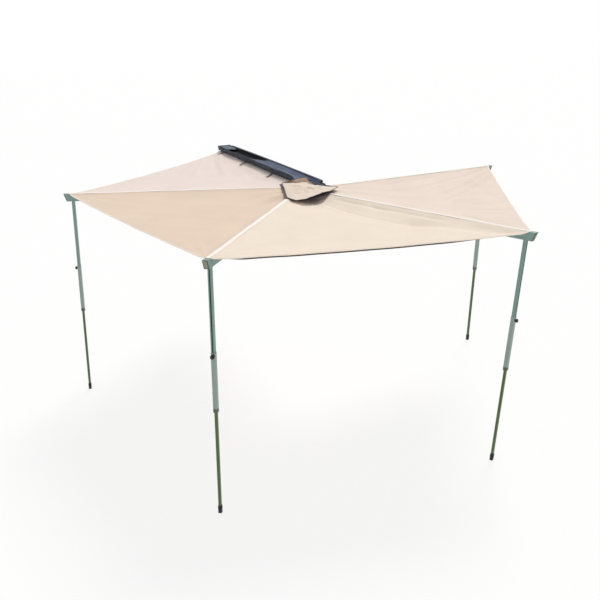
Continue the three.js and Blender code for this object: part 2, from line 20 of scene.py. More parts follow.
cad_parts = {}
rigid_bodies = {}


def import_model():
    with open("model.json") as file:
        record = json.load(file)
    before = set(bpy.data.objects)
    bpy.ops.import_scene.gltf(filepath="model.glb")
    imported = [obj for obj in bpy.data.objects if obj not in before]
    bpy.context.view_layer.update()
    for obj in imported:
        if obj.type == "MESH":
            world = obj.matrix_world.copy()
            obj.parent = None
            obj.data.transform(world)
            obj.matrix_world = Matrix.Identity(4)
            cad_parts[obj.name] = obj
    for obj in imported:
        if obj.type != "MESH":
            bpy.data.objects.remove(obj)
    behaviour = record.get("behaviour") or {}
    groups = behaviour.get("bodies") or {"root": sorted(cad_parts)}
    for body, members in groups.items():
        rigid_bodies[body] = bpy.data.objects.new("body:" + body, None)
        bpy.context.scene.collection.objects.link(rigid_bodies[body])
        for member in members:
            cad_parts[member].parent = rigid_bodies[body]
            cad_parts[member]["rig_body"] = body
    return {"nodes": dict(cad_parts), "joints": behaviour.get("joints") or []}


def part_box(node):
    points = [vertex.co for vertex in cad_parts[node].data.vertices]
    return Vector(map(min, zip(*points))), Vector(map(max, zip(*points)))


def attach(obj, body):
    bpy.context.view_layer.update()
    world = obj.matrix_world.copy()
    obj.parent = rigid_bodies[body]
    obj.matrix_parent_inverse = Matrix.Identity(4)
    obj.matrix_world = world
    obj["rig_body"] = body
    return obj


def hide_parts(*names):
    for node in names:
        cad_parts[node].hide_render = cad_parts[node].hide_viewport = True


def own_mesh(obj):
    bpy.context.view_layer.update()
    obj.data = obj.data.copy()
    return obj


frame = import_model()

log = logging.getLogger("awning")

UP = np.array([0.0, 0.0, 1.0])

EVEN = (1.0, 1.0, 1.0)
WHITE = (1.0, 1.0, 1.0, 1.0)

Colour = tuple[float, float, float]
Spot = tuple[float, float, float]
Array = np.ndarray
Socket = bpy.types.NodeSocket
Piece = bpy.types.Object


def tint(red: float, green: float, blue: float) -> Colour:
    """Turns a display colour into the linear light that Blender's sockets take.

    Args:
        red: from 0 to 255, and so are green and blue.
        green: see red.
        blue: see red.

    Returns:
        The linear colour, from 0 to 1.
    """
    display = np.array([red, green, blue]) / 255.0
    linear = np.where(display <= 0.04045, display / 12.92, ((display + 0.055) / 1.055) ** 2.4)
    return tuple(float(value) for value in linear)


def unit(vector: Array) -> Array:
    """Scales each vector in the last axis to a length of one."""
    return vector / np.maximum(np.linalg.norm(vector, axis=-1, keepdims=True), 1e-12)


def smooth(value: Array) -> Array:
    """Eases 0 to 1 with the cubic 3t^2 - 2t^3, held at 0 and 1 outside."""
    clipped = np.clip(value, 0.0, 1.0)
    return clipped * clipped * (3.0 - 2.0 * clipped)


def lengths_along(points: Array) -> Array:
    """Running length of a path, as the sum of its chords, starting at zero."""
    return np.concatenate([[0.0], np.cumsum(np.linalg.norm(np.diff(points, axis=0), axis=1))])


def sampled(values: Array, run: Array, at: Array) -> Array:
    """Each column of values, which lie at places along a run, read at other places."""
    return np.stack([np.interp(at, run, values[:, i]) for i in range(values.shape[1])], axis=1)


def read_all(items: Any, name: str, width: int = 1, kind: type = np.float32) -> Array:
    """Reads one property of all items of a mesh at once.

    Args:
        items: the mesh's vertices, loops or polygons.
        name: the property.
        width: how many numbers each item has.
        kind: the numbers' type.

    Returns:
        Items by numbers, or a flat array where each has one.
    """
    values = np.empty(len(items) * width, kind)
    items.foreach_get(name, values)
    return values.reshape(-1, width) if width > 1 else values


def laid_out(points: Array) -> tuple[float, float]:
    """The size of a grid of cloth laid flat: its longest column and its longest row."""
    steps = (np.linalg.norm(np.diff(points, axis=axis), axis=2).sum(axis=axis).max() for axis in (0, 1))
    return tuple(float(length) for length in steps)


# Materials


class Reading(Enum):
    """Where a pattern takes its coordinates from."""

    OBJECT = "Object"
    CHART = "UV"


class Graph:
    """The node tree of a material or of the world, with short calls for the nodes that these share."""

    def __init__(self, owner: bpy.types.Material | bpy.types.World) -> None:
        """Starts from the owner's first tree, in which a material has one surface shader.

        Args:
            owner: a new material or world.
        """
        owner.use_nodes = True
        self.owner = owner
        self.tree = owner.node_tree
        self.surface = self.tree.nodes.get("Principled BSDF")

    def feed(self, socket: Socket, value: Any) -> None:
        """Links a socket to a node's first output or to an output, or sets its value.

        Args:
            socket: the input that is fed.
            value: a node, an output socket or a plain value.
        """
        if isinstance(value, bpy.types.Node):
            value = value.outputs[0]
        if isinstance(value, bpy.types.NodeSocket):
            self.tree.links.new(value, socket)
        else:
            socket.default_value = value

    def node(self, kind: str, inputs: dict[Any, Any] | None = None, **settings: Any) -> bpy.types.Node:
        """Adds a node.

        Args:
            kind: the node's type name.
            inputs: what feeds its inputs, by name or number.
            settings: its own properties.

        Returns:
            The new node.
        """
        made = self.tree.nodes.new(kind)
        for name, value in settings.items():
            setattr(made, name, value)
        for socket, value in (inputs or {}).items():
            self.feed(made.inputs[socket], value)
        return made

    def coordinates(self, reading: Reading, stretch: Sequence[float] = EVEN) -> Socket:
        """Coordinates in metres, each axis multiplied by its stretch."""
        source = self.node("ShaderNodeTexCoord").outputs[reading.value]
        return self.node("ShaderNodeMapping", {"Vector": source, "Scale": tuple(stretch)}).outputs[0]

    def noise(self, size: float, reading: Reading, stretch: Sequence[float] = EVEN, detail: float = 3.0) -> Socket:
        """Cloudy noise with patches of about the given size in metres, pulled along by its stretch."""
        where = self.coordinates(reading, stretch)
        return self.node("ShaderNodeTexNoise", {"Vector": where, "Scale": 1.0 / size, "Detail": detail}).outputs["Fac"]

    def bands(self, pitch: float, reading: Reading, axis: str) -> Socket:
        """Sine bands across an axis: Blender's wave runs one period over pi / 10 at scale 1.

        Args:
            pitch: a band's period in metres.
            reading: where the coordinates come from.
            axis: the axis that the bands cross.

        Returns:
            The bands' height, from 0 to 1.
        """
        where = self.coordinates(reading)
        inputs = {"Vector": where, "Scale": math.pi / (10.0 * pitch), "Distortion": 0.0}
        return self.node("ShaderNodeTexWave", inputs, bands_direction=axis).outputs["Fac"]

    def math(self, operation: str, first: Any, second: Any = 0.0) -> Socket:
        """One arithmetic step on two values."""
        return self.node("ShaderNodeMath", {0: first, 1: second}, operation=operation).outputs[0]

    def ramp(self, value: Any, stops: Sequence[tuple[float, Colour]]) -> Socket:
        """Colours spread over a value.

        Args:
            value: what is read, from 0 to 1.
            stops: places and their linear colours, in order.

        Returns:
            The colour output.
        """
        made = self.node("ShaderNodeValToRGB", {"Fac": value})
        elements = made.color_ramp.elements
        while len(elements) < len(stops):
            elements.new(0.5)
        for element, (place, colour) in zip(elements, stops):
            element.position = place
            element.color = (*colour, 1.0)
        return made.outputs["Color"]

    def level(self, value: Any, low: float, high: float, start: float = 0.3, end: float = 0.7) -> Socket:
        """Carries a value between start and end over to low and high, held at both."""
        inputs = {"Value": value, "From Min": start, "From Max": end, "To Min": low, "To Max": high}
        return self.node("ShaderNodeMapRange", inputs).outputs[0]

    def mixed(self, share: Any, first: Any, second: Any) -> Socket:
        """Blends two colours by a share from 0 to 1."""
        made = self.node("ShaderNodeMix", {0: share, 6: first, 7: second}, data_type="RGBA")
        return made.outputs[2]

    def bump(self, height: Any, depth: float, below: Any = None) -> Socket:
        """Raises the surface by a height times a depth.

        Args:
            height: from 0 to 1.
            depth: in metres.
            below: a bump that this one lies on.

        Returns:
            The normal.
        """
        inputs: dict[Any, Any] = {"Height": height, "Distance": depth, "Strength": 1.0}
        if below is not None:
            inputs["Normal"] = below
        return self.node("ShaderNodeBump", inputs).outputs[0]

    def paint(self, **inputs: Any) -> None:
        """Feeds the surface shader, with underscores for the spaces in its socket names."""
        for name, value in inputs.items():
            self.feed(self.surface.inputs[name.replace("_", " ")], value)


MATERIALS: dict[str, bpy.types.Material] = {}


@dataclass(frozen=True)
class Finish:
    """What all finishes share: a name, the record's slot and a base colour."""

    name: str
    slot: str
    colour: Colour

    def darker(self, share: float) -> Colour:
        """The base colour, multiplied by a share."""
        return tuple(channel * share for channel in self.colour)

    def material(self) -> bpy.types.Material:
        """The finish's material, made on its first use.

        Returns:
            The one material of that name.
        """
        if self.name not in MATERIALS:
            graph = Graph(bpy.data.materials.new(self.name))
            self.build(graph)
            MATERIALS[self.name] = graph.owner
        return MATERIALS[self.name]

    def build(self, graph: Graph) -> None:
        """Builds the node tree; each kind of finish has its own."""
        graph.paint(Base_Color=(*self.colour, 1.0))


@dataclass(frozen=True)
class WovenCloth(Finish):
    """Coated canvas: crossed yarns as a fine bump, faint mottling, soft wrinkles and a little sheen."""

    yarn: float = 0.0011
    roughness: float = 0.82
    sheen: float = 0.12
    soil: float = 0.965
    wrinkle: float = 0.0009
    fold: float = 0.13
    cloud: float = 0.34

    def build(self, graph: Graph) -> None:
        """Yarn height is the larger of two crossed sine bands; mottling and wrinkles are cloudy noise. Painted shade
        darkens the colour where the yarn is low.

        Args:
            graph: the nodes of a new material.
        """
        warp = graph.bands(self.yarn, Reading.CHART, "X")
        weft = graph.bands(self.yarn * 1.18, Reading.CHART, "Y")
        weave = graph.math("MAXIMUM", warp, weft)
        folds = graph.noise(self.fold, Reading.OBJECT, (1.0, 1.0, 2.4))
        normal = graph.bump(weave, self.yarn * 0.16, graph.bump(folds, self.wrinkle))
        cloud = graph.noise(self.cloud, Reading.OBJECT, detail=5.0)
        colour = graph.ramp(cloud, [(0.32, self.darker(self.soil)), (0.62, self.colour)])
        # Painted shade: the colour is up to five percent darker where the weave is low.
        thread = graph.level(weave, 0.95, 1.0, 0.2, 0.9)
        tone = graph.node("ShaderNodeVectorMath", {0: colour, "Scale": thread}, operation="SCALE").outputs[0]
        graph.paint(
            Base_Color=tone,
            Roughness=graph.level(cloud, self.roughness + 0.05, self.roughness - 0.04),
            Specular_IOR_Level=0.28,
            Sheen_Weight=self.sheen,
            Sheen_Roughness=0.45,
            Normal=normal,
        )


@dataclass(frozen=True)
class CoatedCloth(Finish):
    """Heavy coated bag cloth: ripstop grid, lengthwise rolls with painted highlights and painted shade along them, and
    a dull shine.
    """

    streak: float = 1.35
    roughness: float = 0.5
    grid: float = 0.0062
    roll: float = 0.05
    cloud: float = 0.22
    crinkle: float = 0.0035
    ripstop: float = 0.00012

    def build(self, graph: Graph) -> None:
        """Streaks are noise stretched eight times along the bag, painted lighter as highlights and darker as shade,
        with a matching crinkle bump; the ripstop is two crossed thin bands.

        Args:
            graph: the nodes of a new material.
        """
        streaks = graph.noise(self.roll, Reading.OBJECT, (0.12, 1.0, 1.2), detail=4.0)
        cloud = graph.noise(self.cloud, Reading.OBJECT, detail=5.0)
        shade = graph.math("MULTIPLY", graph.math("ADD", streaks, cloud), 0.5)
        # Painted highlight and painted shade: the streaks are coloured lighter and darker than the cloth.
        lit = tuple(min(1.0, channel * self.streak) for channel in self.colour)
        colour = graph.ramp(shade, [(0.34, self.darker(0.7)), (0.5, self.colour), (0.66, lit)])
        across = graph.bands(self.grid, Reading.CHART, "X")
        along = graph.bands(self.grid, Reading.CHART, "Y")
        raised = graph.level(graph.math("MAXIMUM", across, along), 0.0, 1.0, 0.86, 1.0)
        normal = graph.bump(raised, self.ripstop, graph.bump(shade, self.crinkle))
        graph.paint(
            Base_Color=colour,
            Roughness=graph.level(shade, self.roughness + 0.12, self.roughness - 0.06),
            Specular_IOR_Level=0.3,
            Sheen_Weight=0.03,
            Normal=normal,
        )


@dataclass(frozen=True)
class Webbing(Finish):
    """Narrow woven tape or thread: slanted ribs along the piece with painted shade in their grooves, and worn patches.
    """

    rib: float = 0.0021
    roughness: float = 0.75
    wear: float = 0.03

    def build(self, graph: Graph) -> None:
        """Ribs are sine bands along the chart, shifted by a second set across it; the colour is darker in their grooves
        as painted shade.

        Args:
            graph: the nodes of a new material.
        """
        ribs = graph.bands(self.rib, Reading.CHART, "X")
        cords = graph.bands(self.rib * 1.6, Reading.CHART, "DIAGONAL")
        weave = graph.math("MULTIPLY", graph.math("ADD", ribs, cords), 0.5)
        fade = graph.noise(self.wear, Reading.OBJECT, detail=4.0)
        tone = graph.math("MULTIPLY", graph.math("ADD", weave, fade), 0.5)
        # Painted shade in the ribs' grooves: the colour darkens where the weave is low, and also in worn patches.
        colour = graph.ramp(tone, [(0.2, self.darker(0.62)), (0.75, self.colour)])
        graph.paint(
            Base_Color=colour,
            Roughness=graph.level(fade, self.roughness + 0.08, self.roughness - 0.06),
            Specular_IOR_Level=0.3,
            Sheen_Weight=0.15,
            Normal=graph.bump(weave, 0.0004),
        )


@dataclass(frozen=True)
class DrawnMetal(Finish):
    """Extruded, brushed or plated metal: fine die lines along the piece, dull patches and small scuffs."""

    roughness: float = 0.36
    metallic: float = 0.85
    line: float = 0.0009
    lines_along: float = 0.02
    patch: float = 0.09
    scuff: float = 0.013

    def build(self, graph: Graph) -> None:
        """Die lines are noise squeezed across the chart's second axis; scuffs are thresholded noise.

        Args:
            graph: the nodes of a new material.
        """
        lines = graph.noise(self.line, Reading.CHART, (self.lines_along, 1.0, 1.0), detail=2.0)
        patches = graph.noise(self.patch, Reading.OBJECT, detail=4.0)
        scuffs = graph.level(graph.noise(self.scuff, Reading.OBJECT, detail=6.0), 0.0, 1.0, 0.66, 0.72)
        tone = graph.math("MULTIPLY", graph.math("ADD", lines, patches), 0.5)
        metal = graph.ramp(tone, [(0.36, self.darker(0.84)), (0.64, self.colour)])
        worn = tuple(min(1.0, channel * 1.18 + 0.02) for channel in self.colour)
        graph.paint(
            Base_Color=graph.mixed(graph.math("MULTIPLY", scuffs, 0.5), metal, (*worn, 1.0)),
            Metallic=self.metallic,
            Roughness=graph.level(tone, self.roughness - 0.06, self.roughness + 0.12),
            Normal=graph.bump(lines, 0.00004, graph.bump(scuffs, 0.00006)),
        )


@dataclass(frozen=True)
class PowderCoat(Finish):
    """Powder-coated steel: an orange-peel skin, and dust in patches."""

    roughness: float = 0.42
    peel: float = 0.0016
    dust: float = 0.12

    def build(self, graph: Graph) -> None:
        """The skin is fine noise; dust is wide noise that lifts the colour and dulls the surface.

        Args:
            graph: the nodes of a new material.
        """
        skin = graph.noise(self.peel, Reading.OBJECT, detail=2.0)
        dust = graph.noise(self.dust, Reading.OBJECT, detail=5.0)
        dusty = tuple(channel * 0.9 + 0.012 for channel in self.colour)
        colour = graph.ramp(dust, [(0.38, self.colour), (0.66, dusty)])
        graph.paint(
            Base_Color=colour,
            Roughness=graph.level(dust, self.roughness, self.roughness + 0.16),
            Specular_IOR_Level=0.45,
            Normal=graph.bump(skin, 0.00012),
        )


@dataclass(frozen=True)
class MouldedPlastic(Finish):
    """Injection-moulded plastic: a spark-eroded grain and slight flow marks in tone and gloss."""

    roughness: float = 0.46
    grain: float = 0.0011
    flow: float = 0.04

    def build(self, graph: Graph) -> None:
        """The grain is cellular noise; flow marks are wide noise stretched along the piece.

        Args:
            graph: the nodes of a new material.
        """
        where = graph.coordinates(Reading.OBJECT)
        cells = graph.node("ShaderNodeTexVoronoi", {"Vector": where, "Scale": 1.0 / self.grain})
        flow = graph.noise(self.flow, Reading.OBJECT, (1.0, 1.0, 0.4), detail=4.0)
        colour = graph.ramp(flow, [(0.35, self.darker(0.82)), (0.68, self.colour)])
        graph.paint(
            Base_Color=colour,
            Roughness=graph.level(flow, self.roughness - 0.05, self.roughness + 0.1),
            Specular_IOR_Level=0.45,
            Normal=graph.bump(cells, 0.00007),
        )


# Shapes


@dataclass(frozen=True)
class Place:
    """A local frame: its origin and its three unit axes as rows, in the part's frame."""

    origin: Array
    axes: Array

    def world(self, points: Array) -> Array:
        """Local points carried to the part's frame: the origin plus each coordinate times its axis."""
        return self.origin + points @ self.axes

    def local(self, points: Array) -> Array:
        """Points of the part's frame read along the local axes."""
        return (points - self.origin) @ self.axes.T


@dataclass
class Shape:
    """A mesh in the making: its points, and groups of faces with their charts in metres."""

    points: Array
    groups: list[tuple[Array, Array]] = field(default_factory=list)

    def placed(self, place: Place) -> "Shape":
        """The same shape carried from a local frame to the part's frame."""
        return Shape(place.world(self.points), self.groups)

    def turned(self) -> "Shape":
        """The shape with its faces turned round."""
        return Shape(self.points, [(faces[:, ::-1], chart[:, ::-1]) for faces, chart in self.groups])

    def volume(self) -> float:
        """Signed volume: a sixth of the triple products of each face's fan of triangles.

        Returns:
            Cubic metres, below zero where the faces point inwards.
        """
        total = 0.0
        for faces, _ in self.groups:
            corners = self.points[faces]
            first, second, third = corners[:, :1], corners[:, 1:-1], corners[:, 2:]
            total += float(np.sum(np.cross(second, third) * first))
        return total / 6.0

    def outward(self) -> "Shape":
        """The shape with its faces turned round where its signed volume is negative."""
        return self if self.volume() >= 0.0 else self.turned()

    def mesh(self, name: str) -> bpy.types.Mesh:
        """Writes the arrays into a new mesh.

        Args:
            name: the mesh's name.

        Returns:
            The mesh, with its chart as a UV map.
        """
        made = bpy.data.meshes.new(name)
        corners = np.concatenate([faces.ravel() for faces, _ in self.groups]).astype(np.int32)
        sizes = np.concatenate([np.full(len(faces), faces.shape[1]) for faces, _ in self.groups])
        starts = np.concatenate([[0], np.cumsum(sizes)[:-1]]).astype(np.int32)
        chart = np.concatenate([chart.reshape(-1, 2) for _, chart in self.groups]).astype(np.float32)
        made.vertices.add(len(self.points))
        made.vertices.foreach_set("co", self.points.astype(np.float32).ravel())
        made.loops.add(len(corners))
        made.loops.foreach_set("vertex_index", corners)
        made.polygons.add(len(sizes))
        made.polygons.foreach_set("loop_start", starts)
        made.update(calc_edges=True)
        layer = made.uv_layers.new(name="chart")
        layer.data.foreach_set("uv", chart.ravel())
        made.validate()
        return made


def merged(shapes: Sequence[Shape]) -> Shape:
    """Several shapes as one, each with its own points.

    Args:
        shapes: what is put together.

    Returns:
        The one shape.
    """
    starts = np.cumsum([0] + [len(shape.points) for shape in shapes])
    groups = [(faces + start, chart) for shape, start in zip(shapes, starts) for faces, chart in shape.groups]
    return Shape(np.concatenate([shape.points for shape in shapes]), groups)


def grid_shape(points: Array, ring: bool = False, loop: bool = False, caps: bool = True) -> Shape:
    """A surface over a grid of points.

    Each cell becomes a four-sided face. The chart runs with the mean length along the rows and columns, so a
    pattern keeps its scale.

    Args:
        points: rows by columns by three.
        ring: the columns close on themselves, as a tube's section does.
        loop: the rows close on themselves, as a ring of sections does.
        caps: a tube's two ends are closed with one face each.

    Returns:
        The shape, turned outwards where it is closed.
    """
    rows, columns = points.shape[:2]
    wide = np.concatenate([points, points[:, :1]], axis=1) if ring else points
    full = np.concatenate([wide, wide[:1]], axis=0) if loop else wide
    along = np.concatenate([[0.0], np.cumsum(np.linalg.norm(np.diff(full, axis=0), axis=2).mean(axis=1))])
    across = np.concatenate([[0.0], np.cumsum(np.linalg.norm(np.diff(full, axis=1), axis=2).mean(axis=0))])
    chart = np.stack(np.broadcast_arrays(along[:, None], across[None, :]), axis=-1)
    row, column = np.meshgrid(np.arange(full.shape[0] - 1), np.arange(full.shape[1] - 1), indexing="ij")
    steps = [(0, 0), (1, 0), (1, 1), (0, 1)]
    faces = np.stack([((row + i) % rows) * columns + (column + j) % columns for i, j in steps], axis=-1)
    laid = np.stack([chart[row + i, column + j] for i, j in steps], axis=-2)
    groups = [(faces.reshape(-1, 4), laid.reshape(-1, 4, 2))]
    closed = ring and (loop or caps)
    if ring and caps and not loop:
        first = np.arange(columns)[None, :]
        last = ((rows - 1) * columns + np.arange(columns)[::-1])[None, :]
        for face, section in ((first, points[0]), (last, points[-1][::-1])):
            middle = section - section.mean(axis=0)
            axes = np.linalg.svd(middle, full_matrices=False)[2][:2]
            groups.append((face, (middle @ axes.T)[None]))
    shape = Shape(points.reshape(-1, 3), groups)
    return shape.outward() if closed else shape


def sweep(profile: Array, path: Array, up: Array = UP, scale: Array | None = None, ring: bool = True) -> Shape:
    """Carries a profile along a path.

    The profile's first coordinate runs to the side, which is the path's direction crossed with up, and its
    second along the remaining axis.

    Args:
        profile: points by two.
        path: stations by three.
        up: one direction, or one at each station.
        scale: the profile's size at each station.
        ring: the profile closes on itself.

    Returns:
        The shape, closed where the profile is.
    """
    ahead = unit(np.gradient(path, axis=0))
    side = unit(np.cross(ahead, np.broadcast_to(up, path.shape)))
    rise = np.cross(side, ahead)
    size = np.ones(len(path)) if scale is None else scale
    spread = profile[None, :, :] * size[:, None, None]
    points = path[:, None] + side[:, None] * spread[..., :1] + rise[:, None] * spread[..., 1:]
    return grid_shape(points, ring=ring, caps=ring)


def circle(radius: float, sides: int = 16, squash: float = 1.0) -> Array:
    """Points of an ellipse: radius times the cosine and sine of even angles, the sine times its squash."""
    angle = np.linspace(0.0, 2.0 * math.pi, sides, endpoint=False)
    return np.stack([radius * np.cos(angle), radius * squash * np.sin(angle)], axis=1)


def rounded(corners: Array, radius: float, steps: int = 4) -> Array:
    """Rounds a closed polygon: each corner is a quadratic curve between points a radius away from it.

    Args:
        corners: points by two.
        radius: how far from the corner the curve starts, at most 0.45 of the side.
        steps: points in each curve, less one.

    Returns:
        The rounded outline.
    """
    before, after = np.roll(corners, 1, axis=0) - corners, np.roll(corners, -1, axis=0) - corners
    reach = [np.minimum(radius, 0.45 * np.linalg.norm(arm, axis=1, keepdims=True)) for arm in (before, after)]
    start, end = corners + unit(before) * reach[0], corners + unit(after) * reach[1]
    t = np.linspace(0.0, 1.0, steps + 1)[None, :, None]
    curve = (1 - t) ** 2 * start[:, None] + 2 * t * (1 - t) * corners[:, None] + t**2 * end[:, None]
    return curve.reshape(-1, 2)


def box_outline(width: float, height: float, radius: float, steps: int = 4) -> Array:
    """A rounded rectangle about its middle."""
    half = np.array([[-1, -1], [1, -1], [1, 1], [-1, 1]]) * np.array([width, height]) / 2.0
    return rounded(half, radius, steps)


def slab(outline: Array, stations: Sequence[tuple[float, float]], place: Place) -> Shape:
    """A plate with eased rims: its outline at each height, moved inwards by each inset.

    Args:
        outline: points by two, in the place's first two axes.
        stations: pairs of height and inset in metres, from bottom to top.
        place: where it stands.

    Returns:
        The closed shape.
    """
    middle = (outline.max(axis=0) + outline.min(axis=0)) / 2.0
    half = (outline.max(axis=0) - outline.min(axis=0)) / 2.0
    rows = [
        np.column_stack([middle + (outline - middle) * (1.0 - inset / half), np.full(len(outline), height)])
        for height, inset in stations
    ]
    return grid_shape(np.stack(rows), ring=True).placed(place).outward()


def lathe(profile: Sequence[tuple[float, float]], place: Place, sides: int = 24) -> Shape:
    """Turns a profile round a place's third axis: radius times the cosine and sine of even angles.

    Args:
        profile: pairs of radius and height, from bottom to top.
        place: where it stands.
        sides: how many angles.

    Returns:
        The closed shape.
    """
    outline = np.array(profile)
    angle = np.linspace(0.0, 2.0 * math.pi, sides, endpoint=False)
    ring = np.stack([np.cos(angle), np.sin(angle), np.zeros(sides)], axis=1)
    points = outline[:, None, :1] * ring[None] + outline[:, None, 1:] * np.array([0.0, 0.0, 1.0])
    return grid_shape(points, ring=True).placed(place).outward()


# Small heads, as shares of their radius and height.
RIVET_RIM = ((1.35, 0.0), (1.35, 0.18), (1.28, 0.24), (1.0, 0.26))
WASHER = ((1.5, 0.0), (1.5, 0.2), (1.42, 0.26))
HEXAGON_STATIONS = ((0.26, 0.0), (0.86, 0.0), (0.97, 0.09), (1.0, 0.2))


def rivet(place: Place, radius: float, height: float) -> Shape:
    """A domed head on a washer rim: above the rim its radius falls as a cosine and its height rises as a sine.

    Args:
        place: its seat, with the third axis outwards.
        radius: the dome's radius.
        height: the whole height.

    Returns:
        The closed shape.
    """
    turn = np.linspace(0.15, 0.97, 6) * math.pi / 2
    seat = RIVET_RIM[-1][1]
    dome = np.stack([np.cos(turn), seat + (1.0 - seat) * np.sin(turn)], axis=1)
    return lathe(np.concatenate([RIVET_RIM, dome]) * [radius, height], place, 20)


def hex_bolt(place: Place, radius: float, height: float) -> Shape:
    """A hexagon head on a washer, with its corners turned off, seated on a place as a rivet is.

    Args:
        place: its seat, with the third axis outwards.
        radius: from the middle to a corner.
        height: the whole height.

    Returns:
        The two closed shapes as one.
    """
    hexagon = rounded(circle(radius, 6), radius * 0.12, 2)
    washer = lathe(np.array(WASHER) * [radius, height], place, 24)
    return merged([washer, slab(hexagon, np.array(HEXAGON_STATIONS) * [height, radius], place)])


def row_of(seed: Shape, places: Array, axes: Array) -> Shape:
    """Copies a small shape to many places at once.

    Args:
        seed: the shape, about its own origin.
        places: copies by three, their origins.
        axes: copies by three by three, their axes as rows.

    Returns:
        One shape with all the copies.
    """
    points = places[:, None] + np.einsum("pc,ncx->npx", seed.points, axes)
    shift = (np.arange(len(places)) * len(seed.points))[:, None, None]
    groups = [
        ((faces[None] + shift).reshape(-1, faces.shape[1]), np.tile(chart, (len(places), 1, 1)))
        for faces, chart in seed.groups
    ]
    return Shape(points.reshape(-1, 3), groups)


def stitch_row(
    path: Array, normal: Array, pitch: float = 0.007, size: float = 0.0046, thick: float = 0.0011
) -> Shape:
    """A sewn seam: a long eight-sided bead at each pitch along the path, half sunk in the cloth.

    Args:
        path: points the seam follows, on the cloth.
        normal: the cloth's outward direction, one or one a point.
        pitch: from stitch to stitch.
        size: a stitch's length.
        thick: a stitch's width.

    Returns:
        All the stitches as one shape.
    """
    run = lengths_along(path)
    at = np.arange(pitch / 2, run[-1], pitch)
    spots = sampled(path, run, at)
    ahead = unit(sampled(np.gradient(path, axis=0), run, at))
    out = unit(sampled(np.broadcast_to(normal, path.shape), run, at))
    side = unit(np.cross(out, ahead))
    corners = np.repeat(np.eye(3), 2, axis=0) * np.tile([-1.0, 1.0], 3)[:, None] * [size, thick, thick] / 2.0
    faces = np.array([[1, 3, 5], [3, 0, 5], [0, 2, 5], [2, 1, 5], [3, 1, 4], [0, 3, 4], [2, 0, 4], [1, 2, 4]])
    bead = Shape(corners, [(faces, corners[faces][..., :2])])
    return row_of(bead, spots, np.stack([ahead, side, out], axis=1))


# Cloth is shaded smooth across edges of up to this many degrees.
SOFT = 60.0


@dataclass(frozen=True)
class Wall:
    """What gives an open surface its thickness: metres, which side it grows to, and its inner finish."""

    thickness: float
    offset: float = -1.0
    inside: Finish | None = None


def make_piece(
    name: str,
    shape: Shape,
    body: str,
    finish: Finish,
    replaces: Sequence[str] = (),
    wall: Wall | None = None,
    angle: float = 35.0,
) -> Piece:
    """Makes a shape a piece of the awning.

    Args:
        name: the piece's name.
        shape: its mesh in the part's frame.
        body: the CAD body it rides on.
        finish: its surface.
        replaces: CAD nodes it stands for.
        wall: thickness for an open surface.
        angle: faces that meet at less than this many degrees are shaded smooth.

    Returns:
        The new object.
    """
    made = bpy.data.objects.new(name, shape.mesh(name))
    bpy.context.scene.collection.objects.link(made)
    made.data.shade_smooth()
    made.data.set_sharp_from_angle(angle=math.radians(angle))
    made.data.materials.append(finish.material())
    if wall is not None:
        thick = made.modifiers.new("thickness", "SOLIDIFY")
        thick.thickness, thick.offset, thick.use_even_offset = wall.thickness, wall.offset, False
        if wall.inside is not None:
            made.data.materials.append(wall.inside.material())
            thick.material_offset = 1
    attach(made, body)
    if replaces:
        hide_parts(*replaces)
    log.info("%s rides on %s, %d faces", name, body, len(made.data.polygons))
    return made


def node_points(node: str) -> Array:
    """Every vertex of a CAD node at rest."""
    return read_all(frame["nodes"][node].data.vertices, "co", 3).astype(float)


def node_body(node: str) -> str:
    """The CAD body that carries a node."""
    return str(frame["nodes"][node]["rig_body"])


def eased_copy(node: str, finish: Finish, along: Array, edge: float = 0.0008, hold: float = 25.0) -> Piece:
    """Stands for a rigid CAD node with the same solid, its edges eased.

    The copy's doubles are merged and its flat faces joined again, and a Bevel modifier rounds its edges. The
    chart runs along the piece first and round it second, so that drawn metal has its lines along it.

    Args:
        node: the CAD node.
        finish: its surface.
        along: the direction its lines run in.
        edge: the bevel's width.
        hold: edges sharper than this many degrees are eased.

    Returns:
        The new object.
    """
    made = bpy.data.objects.new(f"{node}_finished", frame["nodes"][node].data.copy())
    bpy.context.scene.collection.objects.link(made)
    work = bmesh.new()
    work.from_mesh(made.data)
    bmesh.ops.remove_doubles(work, verts=work.verts, dist=1e-5)
    bmesh.ops.dissolve_limit(work, angle_limit=math.radians(1.0), verts=work.verts, edges=work.edges)
    work.to_mesh(made.data)
    work.free()
    mesh = made.data
    for layer in list(mesh.uv_layers):
        mesh.uv_layers.remove(layer)
    corners = read_all(mesh.vertices, "co", 3)[read_all(mesh.loops, "vertex_index", kind=np.int32)]
    sizes = read_all(mesh.polygons, "loop_total", kind=np.int32)
    across = unit(np.cross(np.repeat(read_all(mesh.polygons, "normal", 3), sizes, axis=0), along) + 1e-6)
    chart = np.stack([corners @ along, np.sum(corners * across, axis=1)], axis=1)
    layer = mesh.uv_layers.new(name="chart")
    layer.data.foreach_set("uv", chart.astype(np.float32).ravel())
    mesh.materials.clear()
    mesh.materials.append(finish.material())
    mesh.shade_smooth()
    mesh.set_sharp_from_angle(angle=math.radians(hold + 5.0))
    bevel = made.modifiers.new("eased edges", "BEVEL")
    bevel.width, bevel.segments, bevel.limit_method = edge, 2, "ANGLE"
    bevel.angle_limit = math.radians(hold)
    bevel.use_clamp_overlap = True
    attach(made, node_body(node))
    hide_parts(node)
    log.info("%s eases %s", made.name, node)
    return made
